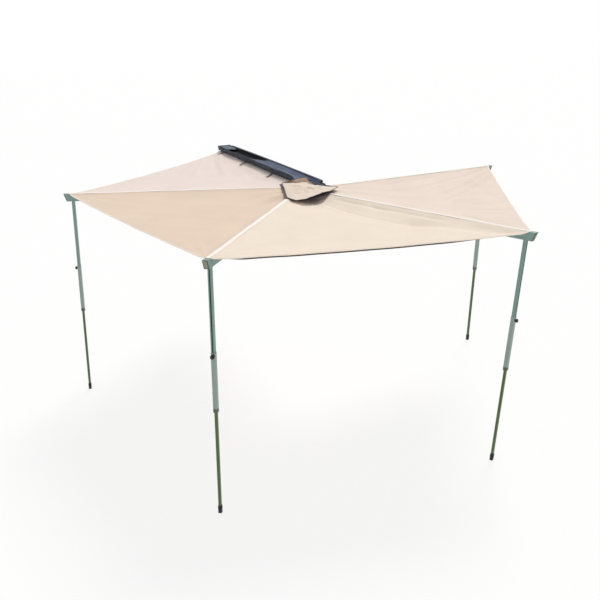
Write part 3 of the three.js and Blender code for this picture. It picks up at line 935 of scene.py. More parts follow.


# Finishes of the awning

# All four panels are one canvas. Their four colours paint the light and shade that each panel gets: the second,
# darkest, is painted shade and the third, lightest, is painted light.
LIT_AND_SHADED_CANVAS = (
    WovenCloth("rosy canopy canvas", "canvas", tint(236, 221, 213)),
    WovenCloth("sandy canopy canvas", "canvas", tint(229, 208, 188)),
    WovenCloth("pale canopy canvas", "canvas", tint(242, 227, 210)),
    WovenCloth("warm canopy canvas", "canvas", tint(237, 220, 207)),
)
COVER_CANVAS = WovenCloth("hub cover canvas", "cover_canvas", tint(233, 217, 201), soil=0.94, wrinkle=0.003)
# Painted light: the rear flap is the cover's canvas made lighter, for light that comes through it while its seen side
# faces away from the sun.
REAR_CANVAS_PAINTED_LIT = WovenCloth("rear flap canvas", "cover_canvas", tint(242, 224, 212), wrinkle=0.002)
SEAM_TAPE = WovenCloth("cream seam tape", "canvas", tint(255, 250, 244), yarn=0.0016, soil=0.98, wrinkle=0.0005)
HEM_CANVAS = WovenCloth("folded hem", "canvas", tint(240, 227, 212), yarn=0.0012, soil=0.95, wrinkle=0.0006)
BAG_CLOTH = CoatedCloth("coated bag cloth", "bag_fabric", tint(28, 42, 66))
# Painted light: the lid is the bag's cloth made lighter and bluer for the sky light on it, with stronger painted
# highlights on its streaks.
SKY_LIT_LID_CLOTH = CoatedCloth("bag lid cloth", "bag_fabric", tint(36, 55, 88), streak=1.8, roughness=0.42)
# Painted shade: the trough's inner faces are near-black for the shade in its hollow.
HOLLOW_SHADE_CLOTH = CoatedCloth("dark bag lining", "bag_fabric", tint(14, 15, 20), streak=1.15, roughness=0.85)
TEAL_CLOTH = CoatedCloth("weathered bag end", "bag_fabric", tint(72, 86, 98), roughness=0.6)
BINDING = Webbing("dark binding", "webbing", tint(74, 64, 58))
# Partly painted shade: the dark underflap also stands for the shade under the cover's lifted edge.
UNDERLAY_SHADE_CLOTH = WovenCloth("dusky underflap", "cover_canvas", tint(96, 84, 88), wrinkle=0.002)
STRAP = Webbing("bag strap webbing", "webbing", tint(44, 44, 50))
ANODISED = DrawnMetal("anodised aluminium", "anodised_aluminium", tint(130, 157, 149))
BRIGHT = DrawnMetal("bright aluminium", "bright_aluminium", tint(146, 164, 156), roughness=0.3)
OLIVE_TUBE = DrawnMetal("olive anodised tube", "anodised_aluminium", tint(92, 115, 76), roughness=0.4)
STEEL = PowderCoat("black powder coat", "black_steel", tint(34, 35, 37))
PLATED = DrawnMetal("zinc plating", "plated_steel", tint(158, 163, 160), roughness=0.3, line=0.004)
BLACK_PLASTIC = MouldedPlastic("black moulding", "black_plastic", tint(28, 28, 30))
CAP_PLASTIC = MouldedPlastic("olive end moulding", "cap_plastic", tint(98, 104, 82))
CAP_LABEL = MouldedPlastic("pale cap inset", "cap_plastic", tint(150, 156, 134), roughness=0.55)
THREAD = Webbing("sewing thread", "canvas", tint(214, 199, 178))
DARK_THREAD = Webbing("dark sewing thread", "bag_fabric", tint(92, 98, 110))


# Where things are


JOINTS = {joint["name"]: joint for joint in frame["joints"]}


@dataclass(frozen=True)
class Fan:
    """The fan of arms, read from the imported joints: a pin, and four lines that pass it at their offsets."""

    pin: Array
    ahead: Array
    left: Array
    offset: Array
    top: float

    @classmethod
    def read(cls) -> "Fan":
        """Reads the pin, angles and offsets from the joints, and the arms' top from their solids.

        Returns:
            The fan's measures, in the part's frame.
        """
        pin = np.array(JOINTS["arm_4_fold"]["pos_m"][:2])
        angles = np.radians([-JOINTS[f"arm_{n}_fold"]["range_deg"][0] for n in range(1, 5)])
        ahead = np.stack([np.cos(angles), np.sin(angles)], axis=1)
        left = np.stack([-ahead[:, 1], ahead[:, 0]], axis=1)
        hinges = np.array([JOINTS[f"leg_{n}_fold"]["pos_m"][:2] for n in range(1, 5)])
        return cls(pin, ahead, left, np.sum((hinges - pin) * left, axis=1), float(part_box("arm_1")[1].z))

    def on_arm(self, arm: int, reach: Array, aside: Array = 0.0) -> Array:
        """Plan points on an arm's line, at distances from the pin and to its left."""
        reach, aside = np.broadcast_arrays(np.asarray(reach, float), np.asarray(aside, float))
        return self.pin + self.left[arm] * (self.offset[arm] + aside)[..., None] + self.ahead[arm] * reach[..., None]

    def leg_place(self, number: int) -> Place:
        """A leg's frame at its hinge pin: outwards, to the left, and up the leg.

        Args:
            number: 1 to 4.

        Returns:
            The frame, from the leg's own joints.
        """
        up = -unit(np.array(JOINTS[f"leg_{number}_extend"]["axis"], float))
        out = unit(np.array(JOINTS[f"leg_{number}_clamp"]["axis"], float))
        origin = np.array(JOINTS[f"leg_{number}_fold"]["pos_m"], float)
        return Place(origin, np.stack([out, np.cross(up, out), up]))


# Canopy


@dataclass(frozen=True)
class Crease:
    """A line of pull in the cloth: shares along and across its panel, its width and its rise in metres."""

    start: tuple[float, float]
    end: tuple[float, float]
    width: float
    rise: float

    def height(self, along: Array, across: Array, reach: float, spread: Array) -> Array:
        """A bell-shaped ridge or valley that fades at both ends.

        The distance from the line is taken across the panel, times the panel's width there, and the bell is
        rise * exp(-(distance / width)^2).

        Args:
            along: shares from the hub to the hem.
            across: shares from the panel's first side to its second.
            reach: the panel's length.
            spread: its width at each point.

        Returns:
            Heights in metres.
        """
        share = (along - self.start[0]) / (self.end[0] - self.start[0])
        line = self.start[1] + (self.end[1] - self.start[1]) * np.clip(share, 0.0, 1.0)
        beyond = np.maximum(np.maximum(-share, share - 1.0), 0.0) * abs(self.end[0] - self.start[0]) * reach
        away = np.hypot((across - line) * spread, 1.6 * beyond)
        fade = smooth(share / 0.25 + 0.35) * smooth((1.0 - share) / 0.25 + 0.35)
        return self.rise * fade * np.exp(-((away / self.width) ** 2))


# Lines of pull in each panel, read off the photograph: shares along and across where the line starts and
# where it ends, then its width and its rise in metres.
PULLS = {
    1: (
        (0.34, 0.38, 0.66, 0.12, 0.06, -0.008), (0.68, 0.30, 0.97, 0.08, 0.040, 0.011),
        (0.60, 0.42, 0.96, 0.14, 0.045, -0.012), (0.74, 0.50, 0.98, 0.20, 0.045, 0.009),
        (0.84, 0.56, 1.0, 0.26, 0.040, -0.008), (0.50, 0.20, 0.82, 0.06, 0.03, 0.006),
    ),
    2: (
        (0.06, 0.74, 0.66, 0.90, 0.15, -0.026), (0.08, 0.50, 0.55, 0.74, 0.05, 0.011),
        (0.10, 0.62, 0.44, 0.80, 0.026, -0.005), (0.50, 0.90, 0.98, 0.97, 0.08, -0.014),
        (0.30, 0.30, 0.95, 0.52, 0.12, 0.007),
    ),
    3: (
        (0.12, 0.60, 0.74, 0.85, 0.17, -0.030), (0.16, 0.60, 0.62, 0.80, 0.022, -0.007),
        (0.20, 0.55, 0.66, 0.77, 0.045, 0.008), (0.60, 0.82, 0.99, 0.975, 0.11, -0.022),
        (0.08, 0.84, 0.46, 0.93, 0.028, -0.007), (0.34, 0.90, 0.70, 0.955, 0.030, -0.007),
        (0.12, 0.20, 0.50, 0.10, 0.05, 0.006),
    ),
    4: (
        (0.60, 0.74, 0.98, 0.985, 0.045, -0.014), (0.64, 0.52, 0.99, 0.95, 0.040, 0.015),
        (0.66, 0.38, 0.98, 0.84, 0.060, -0.018), (0.36, 0.64, 0.76, 0.84, 0.06, 0.010),
        (0.30, 0.82, 0.66, 0.93, 0.05, -0.009), (0.80, 0.36, 1.0, 0.44, 0.028, 0.007),
        (0.78, 0.24, 1.0, 0.29, 0.028, -0.008), (0.80, 0.14, 1.0, 0.17, 0.024, 0.006),
        (0.72, 0.10, 0.97, 0.02, 0.05, -0.008), (0.10, 0.46, 0.42, 0.38, 0.05, -0.008),
    ),
}


@dataclass(frozen=True)
class Panel:
    """One cloth panel between two sides that run out from the hub: its sides, its hem and its own folds."""

    number: int
    fan: Fan
    inner: float = 0.150
    setback: tuple[float, float] = (0.045, 0.045)
    creases: tuple[Crease, ...] = ()
    reach: float = 2.315
    rail: tuple[float, float, float] = (0.215, 2.480, -0.1524)
    lift: float = 0.0014
    flat_band: float = 0.022
    slope: tuple[float, float] = (0.007, 0.060)
    shoulder: tuple[float, float] = (0.0055, 0.009)
    ear: float = 0.0
    ear_at: float = 0.07
    shelf: float = 0.0
    shelf_at: float = 0.17
    shelf_width: float = 0.075
    hem_sag: float = 0.018
    belly: float = 0.024
    hub_folds: float = 0.006
    tip_pleats: float = 0.0028
    ripple: float = 0.0005
    seed: int = 7

    def side(self, first: bool, share: Array) -> Array:
        """Plan points along one side: the rail for the first panel's first side, otherwise an arm's line.

        Args:
            first: the side before the cloth, not the one after it.
            share: from the hub to the hem.

        Returns:
            Points, with two in the last axis.
        """
        if first and self.number == 1:
            start, end, back = self.rail
            share = np.asarray(share, float)
            return self.fan.pin + np.stack([start + (end - start) * share, np.full_like(share, back)], axis=-1)
        arm = self.number - 2 if first else self.number - 1
        end = self.reach - self.setback[0 if first else 1]
        return self.fan.on_arm(arm, self.inner + (end - self.inner) * np.asarray(share, float))

    def surface(self, along: Array, across: Array, raised: float = 0.0) -> Array:
        """The cloth's upper face.

        In plan a point lies between the two sides, and an ear bows the first panel out beyond its rail. The
        height is the arms' top, less a slope and a shoulder that fall as 1 - exp(-d / run) beside each arm,
        less a belly 4t(1 - t) that is deepest in the middle and at the hem, plus a bell-shaped shelf, folds
        that start at the hub, creases, pleats that fan out from the tips, and fine ripples.

        Args:
            along: shares from the hub to the hem.
            across: shares from the first side to the second.
            raised: height above the cloth.

        Returns:
            Points, with three in the last axis.
        """
        along, across = np.broadcast_arrays(np.asarray(along, float), np.asarray(across, float))
        first, second = self.side(True, along), self.side(False, along)
        plan = first + (second - first) * across[..., None]
        bow = smooth(across / self.ear_at) * (1.0 - across) / (1.0 - self.ear_at)
        bow = bow - 0.30 * np.sin(math.pi * across) * smooth(across / 0.4)
        plan = plan + np.stack([self.ear * bow * along**3, np.zeros_like(bow)], axis=-1)
        spread = np.linalg.norm(second - first, axis=-1)
        near = np.minimum(across, 1.0 - across) * spread
        free = np.maximum(near - self.flat_band, 0.0)
        inside = np.clip((across * spread - self.flat_band) / np.maximum(spread - 2 * self.flat_band, 1e-3), 0.0, 1.0)
        arch = 4.0 * inside * (1.0 - inside)
        drop = sum(depth * (1.0 - np.exp(-free / run)) for depth, run in (self.slope, self.shoulder))
        drop = drop - self.shelf * np.exp(-(((across * spread - self.shelf_at) / self.shelf_width) ** 2))
        drop = drop + arch * (self.hem_sag * along**2 + self.belly * np.sin(math.pi * np.clip(along, 0, 1)))
        loose = smooth(free / 0.08)
        folds = self.hub_folds * np.cos(2.0 * math.pi * (3.5 * across + 0.4 * along)) * np.exp(-along / 0.16)
        for crease in self.creases:
            folds = folds + crease.height(along, across, self.reach, spread)
        for corner in (0.0, 1.0):
            away = np.hypot((across - corner) * spread, (1.0 - along) * self.reach)
            angle = np.arctan2(np.abs(across - corner) * spread, (1.0 - along) * self.reach + 1e-3)
            pleats = np.cos(13.0 * angle + corner) * np.exp(-away / 0.33) * smooth(away / 0.12)
            folds = folds + self.tip_pleats * pleats
        noise = np.random.default_rng(self.seed + self.number)
        for _ in range(9):
            length, turn, phase = noise.uniform(0.28, 0.9), noise.uniform(-0.6, 0.6), noise.uniform(0, 6.28)
            away = across * spread * math.cos(turn) + along * self.reach * math.sin(turn)
            folds = folds + self.ripple * np.sin(2.0 * math.pi * away / length + phase)
        height = self.fan.top + self.lift + raised - drop + folds * loose
        return np.concatenate([plan, height[..., None]], axis=-1)

    def cut(self, points: Array) -> Array:
        """Where points lie in the flat cloth: metres along the panel's second arm and to its left."""
        arm = self.number - 1
        return (points[..., :2] - self.fan.pin) @ np.stack([self.fan.ahead[arm], self.fan.left[arm]], axis=1)

    def ease(self, count: int, pull: float = 0.55) -> Array:
        """Shares from 0 to 1, closer together at both ends."""
        even = np.linspace(0.0, 1.0, count)
        return even * (1 - pull) + pull * smooth(even)

    def band(self, inwards: Array, heights: Array, along_hem: Array) -> Array:
        """A ring of points carried along the hem.

        Args:
            inwards: how far each point of the ring lies in from the hem, in metres.
            heights: its height over the cloth.
            along_hem: shares along the hem.

        Returns:
            Stations by ring points by three.
        """
        share = 1.0 - inwards[None, :] / (self.reach - self.inner)
        points = self.surface(share, along_hem[:, None])
        return points + heights[None, :, None] * UP


@dataclass(frozen=True)
class Canopy:
    """The four panels, their hems and seams, and the cream tapes along the arms."""

    fan: Fan
    columns: int = 96
    rows: int = 96
    cloth: float = 0.0008
    hem_width: float = 0.026
    tape_width: float = 0.036
    tape_thickness: float = 0.0024
    tape_starts: tuple[float, ...] = (0.205, 0.205, 0.205, 0.150)
    tape_end: float = 2.268
    stitch_ends: tuple[float, float] = (0.212, 2.25)
    folded_share: float = 0.0015
    gap_aside: float = -0.0220

    def panels(self) -> list[Panel]:
        """The panels with their own setbacks, ear, shelf and creases.

        Returns:
            The four panels, from the board on.
        """
        own: dict[int, dict[str, Any]] = {
            1: {"setback": (0.020, 0.045), "ear": 0.115, "shelf": 0.014},
            4: {"setback": (0.045, 0.035)},
        }
        creases = {
            n: tuple(Crease(row[:2], row[2:4], row[4], row[5]) for row in rows) for n, rows in PULLS.items()
        }
        return [Panel(n, self.fan, creases=creases[n], **own.get(n, {})) for n in range(1, 5)]

    def fold_away(self, piece: Piece, number: int) -> None:
        """Gives a piece of a panel its own copy of its mesh; the spot by its second arm's tip where it would gather is
        worked out but not used.

        Args:
            piece: what gathers.
            number: the panel's, 1 to 4.
        """
        arm = number - 1
        anchor = (*self.fan.on_arm(arm, np.float64(1.0), self.gap_aside), self.fan.top)
        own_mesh(piece)

    def sheet_of(self, panel: Panel) -> Piece:
        """The panel's cloth, charted by where it lies in the flat cut.

        Args:
            panel: the panel of cloth.

        Returns:
            The cloth.
        """
        points = panel.surface(panel.ease(self.rows)[:, None], panel.ease(self.columns)[None, :])
        shape = grid_shape(points)
        flat = panel.cut(shape.points)
        shape.groups = [(faces, flat[faces]) for faces, _ in shape.groups]
        n = panel.number
        # Each panel takes its own colour of the canvas, with its light or shade painted in.
        finish, node = LIT_AND_SHADED_CANVAS[n - 1], f"canopy_panel_{n}"
        made = make_piece(f"canopy_cloth_{n}", facing_up(shape), f"arm_{n}", finish, [node], Wall(self.cloth), SOFT)
        self.fold_away(made, n)
        parts = [self.hem(panel), self.hem_seams(panel)]
        return made

    def hem(self, panel: Panel) -> Piece:
        """The folded hem: a flat ring that goes over the edge, under it and back, a little thicker outside.

        Args:
            panel: the panel of cloth.

        Returns:
            The hem.
        """
        wide = self.hem_width
        inwards = np.array([wide, wide * 0.8, wide * 0.4, 0.003, 0.0, -0.0012, 0.0, 0.003, wide * 0.5, wide])
        heights = np.array([0.0002, 0.0009, 0.0011, 0.0012, 0.0008, -0.0006, -0.0022, -0.0027, -0.0023, -0.0018])
        points = panel.band(inwards, heights, panel.ease(150, 0.3))
        ring = grid_shape(points, ring=True)
        made = make_piece(f"hem_{panel.number}", ring, f"arm_{panel.number}", HEM_CANVAS, angle=SOFT)
        self.fold_away(made, panel.number)
        return made

    def hem_seams(self, panel: Panel) -> Piece:
        """Two rows of stitches along the hem.

        Args:
            panel: the panel of cloth.

        Returns:
            The stitches.
        """
        rows = [
            stitch_row(panel.band(np.array([inward]), np.array([0.0012]), panel.ease(160, 0.3))[:, 0], UP)
            for inward in (0.005, self.hem_width - 0.004)
        ]
        made = make_piece(f"hem_stitches_{panel.number}", merged(rows), f"arm_{panel.number}", THREAD)
        self.fold_away(made, panel.number)
        return made

    def tape(self, arm: int) -> Piece:
        """The cream tape over a seam: a shallow arch that sways a little and narrows at the tip.

        Args:
            arm: 0 to 3.

        Returns:
            The tape.
        """
        run = np.linspace(self.tape_starts[arm], self.tape_end, 140)
        half = self.tape_width / 2.0
        across = np.array([-1.0, -0.96, -0.6, 0.0, 0.6, 0.96, 1.0, 0.6, 0.0, -0.6]) * half
        height = np.array([0.0, 0.3, 0.68, 1.0, 0.68, 0.3, 0.0, 0.0, 0.0, 0.0]) * self.tape_thickness
        sway = 0.0011 * np.sin(run * 7.0 + arm) + 0.0007 * np.sin(run * 19.0 + 2 * arm)
        narrow = 1.0 - 0.25 * smooth((run - 2.18) / 0.088)
        plan = self.fan.on_arm(arm, run[:, None], across[None, :] * narrow[:, None] + sway[:, None])
        level = self.fan.top + 0.0015 + height[None, :] + 0.0003 * np.sin(run * 31.0 + arm)[:, None]
        points = np.concatenate([plan, np.broadcast_to(level, plan.shape[:2])[..., None]], axis=-1)
        ring = grid_shape(points, ring=True)
        return make_piece(f"seam_tape_{arm + 1}", ring, f"arm_{arm + 1}", SEAM_TAPE, angle=SOFT)

    def tape_stitches(self, arm: int) -> Piece:
        """A row of stitches near each edge of the tape.

        Args:
            arm: 0 to 3.

        Returns:
            The stitches.
        """
        run = np.linspace(*self.stitch_ends, 80)
        rows = []
        for side in (-1.0, 1.0):
            plan = self.fan.on_arm(arm, run, side * (self.tape_width / 2.0 - 0.004))
            path = np.concatenate([plan, np.full((len(run), 1), self.fan.top + 0.0026)], axis=1)
            rows.append(stitch_row(path, UP))
        return make_piece(f"seam_stitches_{arm + 1}", merged(rows), f"arm_{arm + 1}", THREAD)

    def shadow_tape(self, panel: Panel) -> Piece:
        """A dark tape that hangs just under the longest hem: painted shadow under the hem's edge.

        Args:
            panel: the panel of cloth.

        Returns:
            The tape.
        """
        inwards = np.array([0.0040, 0.0062, 0.0062, 0.0040])
        heights = np.array([-0.0026, -0.0026, -0.0034, -0.0034])
        share = np.linspace(0.05, 0.85, 120)
        points = panel.band(inwards, heights, share)
        points[:, 2:, 2] -= 0.0095 * (smooth((share - 0.05) / 0.06) * smooth((0.85 - share) / 0.14))[:, None]
        # Painted shadow: the dark tape stands for the shadow line under the hem.
        made = make_piece("hem_draw_tape", grid_shape(points, ring=True), f"arm_{panel.number}", BINDING)
        self.fold_away(made, panel.number)
        return made

    def build(self) -> None:
        """Builds every panel with its hem, then the tapes."""
        for panel in self.panels():
            self.sheet_of(panel)
            if panel.number == 3:
                self.shadow_tape(panel)
        for arm in range(4):
            self.tape(arm)
            self.tape_stitches(arm)


# Hub cover


def facing_up(shape: Shape) -> Shape:
    """An open sheet with its faces turned so that most of it faces up.

    Args:
        shape: the sheet.

    Returns:
        The same sheet, or the turned one where the summed heights of its faces' normals are negative.
    """
    total = 0.0
    for faces, _ in shape.groups:
        corners = shape.points[faces]
        total += float(np.cross(corners[:, 2] - corners[:, 0], corners[:, -1] - corners[:, 1])[:, 2].sum())
    return shape if total >= 0.0 else shape.turned()


def disc(points: Array) -> Shape:
    """A sheet over rings round a middle, facing up.

    It is the grid of its points, with one face in the innermost ring, and its chart is its plan.

    Args:
        points: rings by points by three.

    Returns:
        The open shape.
    """
    shape = grid_shape(points, ring=True, caps=False)
    inner = np.arange(points.shape[1])[None, :]
    flat = shape.points[:, :2] - shape.points[:, :2].mean(axis=0)
    groups = [faces for faces, _ in shape.groups] + [inner]
    if facing_up(shape) is not shape:
        groups = [faces[:, ::-1] for faces in groups]
    return Shape(shape.points, [(faces, flat[faces]) for faces in groups])


def evenly(line: Array, count: int, closed: bool = False) -> Array:
    """A line sampled evenly by its length; a closed one doesn't repeat its first point.

    Args:
        line: points of any spacing.
        count: how many points to give.
        closed: the line goes all round.

    Returns:
        The new points.
    """
    whole = np.concatenate([line, line[:1]]) if closed else line
    run = lengths_along(whole)
    return sampled(whole, run, np.linspace(0.0, run[-1], count, endpoint=not closed))


def closed_curve(knots: Array, count: int, bend: float = 0.36) -> Array:
    """A smooth closed line through its knots.

    Between two knots it is the cubic whose slope at each is the chord of its neighbours times the bend.

    Args:
        knots: points by two or three.
        count: how many points the line gets.
        bend: 0.5 makes a Catmull-Rom curve, and less a tighter one.

    Returns:
        The line's points, evenly spaced.
    """
    t = np.linspace(0.0, len(knots), count * 4, endpoint=False)
    base, share = np.floor(t).astype(int), (t % 1.0)[:, None]
    before, start, end, after = (knots[(base + step) % len(knots)] for step in (-1, 0, 1, 2))
    first, last = (end - before) * bend, (after - start) * bend
    line = (
        (2 * share**3 - 3 * share**2 + 1) * start
        + (share**3 - 2 * share**2 + share) * first
        + (-2 * share**3 + 3 * share**2) * end
        + (share**3 - share**2) * last
    )
    return evenly(line, count, closed=True)


def open_curve(knots: Array, count: int) -> Array:
    """A smooth open line through its knots, as a Catmull-Rom curve with its ends carried on straight.

    Args:
        knots: points by two or three.
        count: how many points the line gets.

    Returns:
        The line's points, evenly spaced.
    """
    padded = np.concatenate([2 * knots[:1] - knots[1:2], knots, 2 * knots[-1:] - knots[-2:-1]])
    t = np.linspace(0.0, len(knots) - 1.0, count * 4)
    base = np.minimum(np.floor(t).astype(int), len(knots) - 2)
    share = (t - base)[:, None]
    before, start, end, after = (padded[base + step] for step in (0, 1, 2, 3))
    line = 0.5 * (
        2 * start
        + (end - before) * share
        + (2 * before - 5 * start + 4 * end - after) * share**2
        + (3 * start - before - 3 * end + after) * share**3
    )
    return evenly(line, count)


def loop_band(profile: Array, path: Array, up: Array = UP) -> Shape:
    """A profile carried round a closed path, as a binding is.

    Args:
        profile: points by two, to the side and up, as in a sweep.
        path: points by three, which doesn't repeat its first.
        up: the direction that the profile's second axis lies nearest to.

    Returns:
        The closed shape.
    """
    ahead = unit(np.roll(path, -1, axis=0) - np.roll(path, 1, axis=0))
    side = unit(np.cross(ahead, np.broadcast_to(up, path.shape)))
    rise = np.cross(side, ahead)
    points = path[:, None] + side[:, None] * profile[None, :, :1] + rise[:, None] * profile[None, :, 1:]
    return grid_shape(points, ring=True, loop=True)


@dataclass(frozen=True)
class HubCover:
    """The loose canvas cover over the hub: a bound upper flap, a rear flap that stands up with painted light, and a
    dark underflap that also paints the shade under the lifted edge.

    Outlines are in the pin's frame, in metres, with heights over the ground, from the photograph.
    """

    fan: Fan
    middle: Spot = (-0.075, 0.085, 2.1105)
    cloth: float = 0.0012
    binding_width: float = 0.0085
    binding_height: float = 0.0040
    folded_share: float = 0.4
    turned_edge: float = 0.005
    edge_points: int = 220
    under_middle: Spot = (-0.02, 0.03, 2.0760)
    front: tuple[Spot, ...] = (
        (0.318, 0.128, 2.0835), (0.268, 0.024, 2.0870), (0.226, -0.088, 2.0925), (0.118, -0.066, 2.0925),
        (0.078, -0.106, 2.0880), (0.000, -0.168, 2.0900), (-0.098, -0.232, 2.0890), (-0.150, -0.228, 2.0930),
        (-0.268, -0.112, 2.0990), (-0.350, 0.024, 2.1075), (-0.424, 0.158, 2.1060), (-0.462, 0.262, 2.0960),
        (-0.420, 0.332, 2.0860), (-0.330, 0.346, 2.0800), (-0.262, 0.345, 2.0770), (-0.130, 0.300, 2.0785),
        (0.060, 0.226, 2.0790),
    )
    rear_base: tuple[Spot, ...] = (
        (0.312, 0.130, 2.0810), (0.262, 0.030, 2.0840), (0.222, -0.080, 2.0885), (0.122, -0.060, 2.0900),
        (0.084, -0.100, 2.0870),
    )
    rear_rim: tuple[Spot, ...] = (
        (0.316, 0.126, 2.0850), (0.222, 0.078, 2.1180), (0.228, -0.074, 2.1350), (0.128, -0.074, 2.1120),
        (0.080, -0.108, 2.0930),
    )
    under: tuple[Spot, ...] = (
        (0.310, 0.160, 2.0745), (0.166, 0.212, 2.0745), (-0.038, 0.276, 2.0745), (-0.262, 0.376, 2.0745),
        (-0.322, 0.352, 2.0745), (-0.372, 0.300, 2.0745), (-0.416, 0.229, 2.0745), (-0.433, 0.150, 2.0745),
        (-0.392, 0.046, 2.0745), (-0.295, -0.066, 2.0745), (-0.195, -0.158, 2.0745), (-0.110, -0.200, 2.0760),
        (0.000, -0.140, 2.0780), (0.100, -0.060, 2.0790), (0.215, -0.040, 2.0800), (0.262, 0.050, 2.0770),
    )

    # Creases of the upper flap: the angle that each points to, its width in radians and its rise.
    ridges: tuple[Spot, ...] = (
        (2.35, 0.09, 0.012), (2.62, 0.10, -0.008), (2.95, 0.12, 0.007), (-2.75, 0.10, 0.010),
        (-2.35, 0.12, -0.008), (-1.6, 0.16, 0.007), (1.1, 0.2, -0.006), (0.1, 0.18, 0.007), (1.7, 0.12, 0.006),
    )

    def at_pin(self, points: Array) -> Array:
        """Points of the pin's frame carried to the part's frame."""
        return np.asarray(points, float) + np.append(self.fan.pin, 0.0)

    def sheet_over(self, outline: Array, rings: int = 34) -> Array:
        """The upper flap: rings that shrink from the outline to the middle.

        The height eases from the edge's own to the middle's with the share squared, lowered by a sag between
        them; creases run out from the middle as a sum of narrow bells in the angle, and ripples are seeded.

        Args:
            outline: the edge, points by three.
            rings: how many rings.

        Returns:
            Rings by points by three.
        """
        middle = self.at_pin(np.array(self.middle))
        share = np.linspace(0.03, 1.0, rings)[:, None]
        plan = middle[:2] + (outline[None, :, :2] - middle[:2]) * share[..., None]
        height = outline[None, :, 2] * share**1.7 + middle[2] * (1.0 - share**1.7)
        angle = np.arctan2(outline[:, 1] - middle[1], outline[:, 0] - middle[0])[None, :]
        swell = smooth(share / 0.25) * smooth((1.02 - share) / 0.5)
        for turn, width, rise in self.ridges:
            away = np.angle(np.exp(1j * (angle + 0.25 * (share - 0.5) - turn)))
            height = height + rise * swell * np.exp(-((away / width) ** 2))
        noise = np.random.default_rng(11)
        for _ in range(7):
            turn, length, phase = noise.uniform(0, math.pi), noise.uniform(0.07, 0.2), noise.uniform(0, 6.28)
            away = plan[..., 0] * math.cos(turn) + plan[..., 1] * math.sin(turn)
            height = height + 0.0017 * swell * np.sin(2 * math.pi * away / length + phase)
        height = height - 0.006 * np.sin(math.pi * share) ** 2
        return np.concatenate([plan, height[..., None]], axis=-1)

    def gather(self, piece: Piece) -> None:
        """Gives a piece of the cover its own copy of its mesh."""
        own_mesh(piece)

    def bind(self, name: str, path: Array, closed: bool) -> Piece:
        """The dark tape folded over an edge.

        Args:
            name: the piece's name.
            path: the edge.
            closed: the edge goes all round.

        Returns:
            The tape.
        """
        profile = circle(self.binding_width / 2.0, 10, self.binding_height / self.binding_width)
        shape = loop_band(profile, path) if closed else sweep(profile, path)
        made = make_piece(name, shape, "root", BINDING, angle=SOFT)
        self.gather(made)
        return made

    def flap(self, name: str, shape: Shape, finish: Finish, replaces: Sequence[str] = ()) -> Piece:
        """One layer of the cover, given its thickness and its own mesh.

        Args:
            name: the piece's name.
            shape: its open surface.
            finish: its look.
            replaces: nodes that it stands for.

        Returns:
            The cloth.
        """
        made = make_piece(name, shape, "root", finish, replaces, Wall(self.cloth), SOFT)
        self.gather(made)
        return made

    def upper_flap(self) -> None:
        """The bound upper flap: its outline waves by two sines, and a row of stitches follows it."""
        outline = closed_curve(self.at_pin(np.array(self.front)), self.edge_points)
        run = np.linspace(0.0, 2 * math.pi, self.edge_points, endpoint=False)
        outline[:, 2] += 0.0012 * np.sin(9 * run) + 0.0008 * np.sin(23 * run + 1.0)
        points = self.sheet_over(outline)
        upper = self.flap("hub_cover_flap", disc(points), COVER_CANVAS, ["hub_cover"])
        edge = self.bind("hub_cover_binding", outline, True)
        stitches = make_piece("hub_cover_stitches", stitch_row(points[-3] + 0.0008 * UP, UP), "root", THREAD)
        self.gather(stitches)

    def rear_flap(self, columns: int = 90, rows: int = 22) -> None:
        """The rear flap, which stands up: straight between its base and its rim, plus a bulge and a wave.

        Args:
            columns: points along it.
            rows: points from its base to its rim.
        """
        base, rim = (open_curve(self.at_pin(np.array(line)), columns) for line in (self.rear_base, self.rear_rim))
        share = np.linspace(0.0, 1.0, rows)[:, None, None]
        wave = 0.004 * np.sin(np.linspace(0, 5 * math.pi, columns))[None, :, None] * np.sin(math.pi * share)
        bulge = 0.012 * np.sin(math.pi * share) * np.array([0.4, -0.7, 0.3])
        points = base[None] * (1 - share) + rim[None] * share + bulge + wave * np.array([1.0, 0.3, 0.2])
        # Painted light: the rear flap takes the lighter copy of the cover canvas.
        rear = self.flap("hub_cover_rear_flap", facing_up(grid_shape(points)), REAR_CANVAS_PAINTED_LIT)
        self.bind("hub_cover_rear_binding", rim, False)
        laid_out(points)

    def under_flap(self, columns: int = 180, rows: int = 14) -> None:
        """The dark layer under the cover, whose colour also paints the shade under the cover's lifted edge: rings that
        shrink to its middle, with a fine wave in height.

        Args:
            columns: points round it.
            rows: rings.
        """
        outline = closed_curve(self.at_pin(np.array(self.under)), columns)
        middle = self.at_pin(np.array(self.under_middle))
        share = np.linspace(0.42, 1.0, rows)[:, None, None]
        points = middle + (outline[None] - middle) * share
        wave = 0.0009 * np.sin(np.linspace(0, 14 * math.pi, columns))[None] * (1.0 - share[..., 0] * 0.5)
        points[..., 2] = outline[None, :, 2] + wave
        flap = facing_up(grid_shape(points, ring=True, caps=False))
        # Partly painted shade: this dark layer also stands for the shade under the lifted edge.
        self.flap("hub_cover_underflap", flap, UNDERLAY_SHADE_CLOTH)

    def build(self) -> None:
        """Builds the three flaps with their bindings."""
        self.upper_flap()
        self.rear_flap()
        self.under_flap()


# Storage bag

# The way that the bag's front wall faces.
OUT = np.array([0.0, 1.0, 0.0])


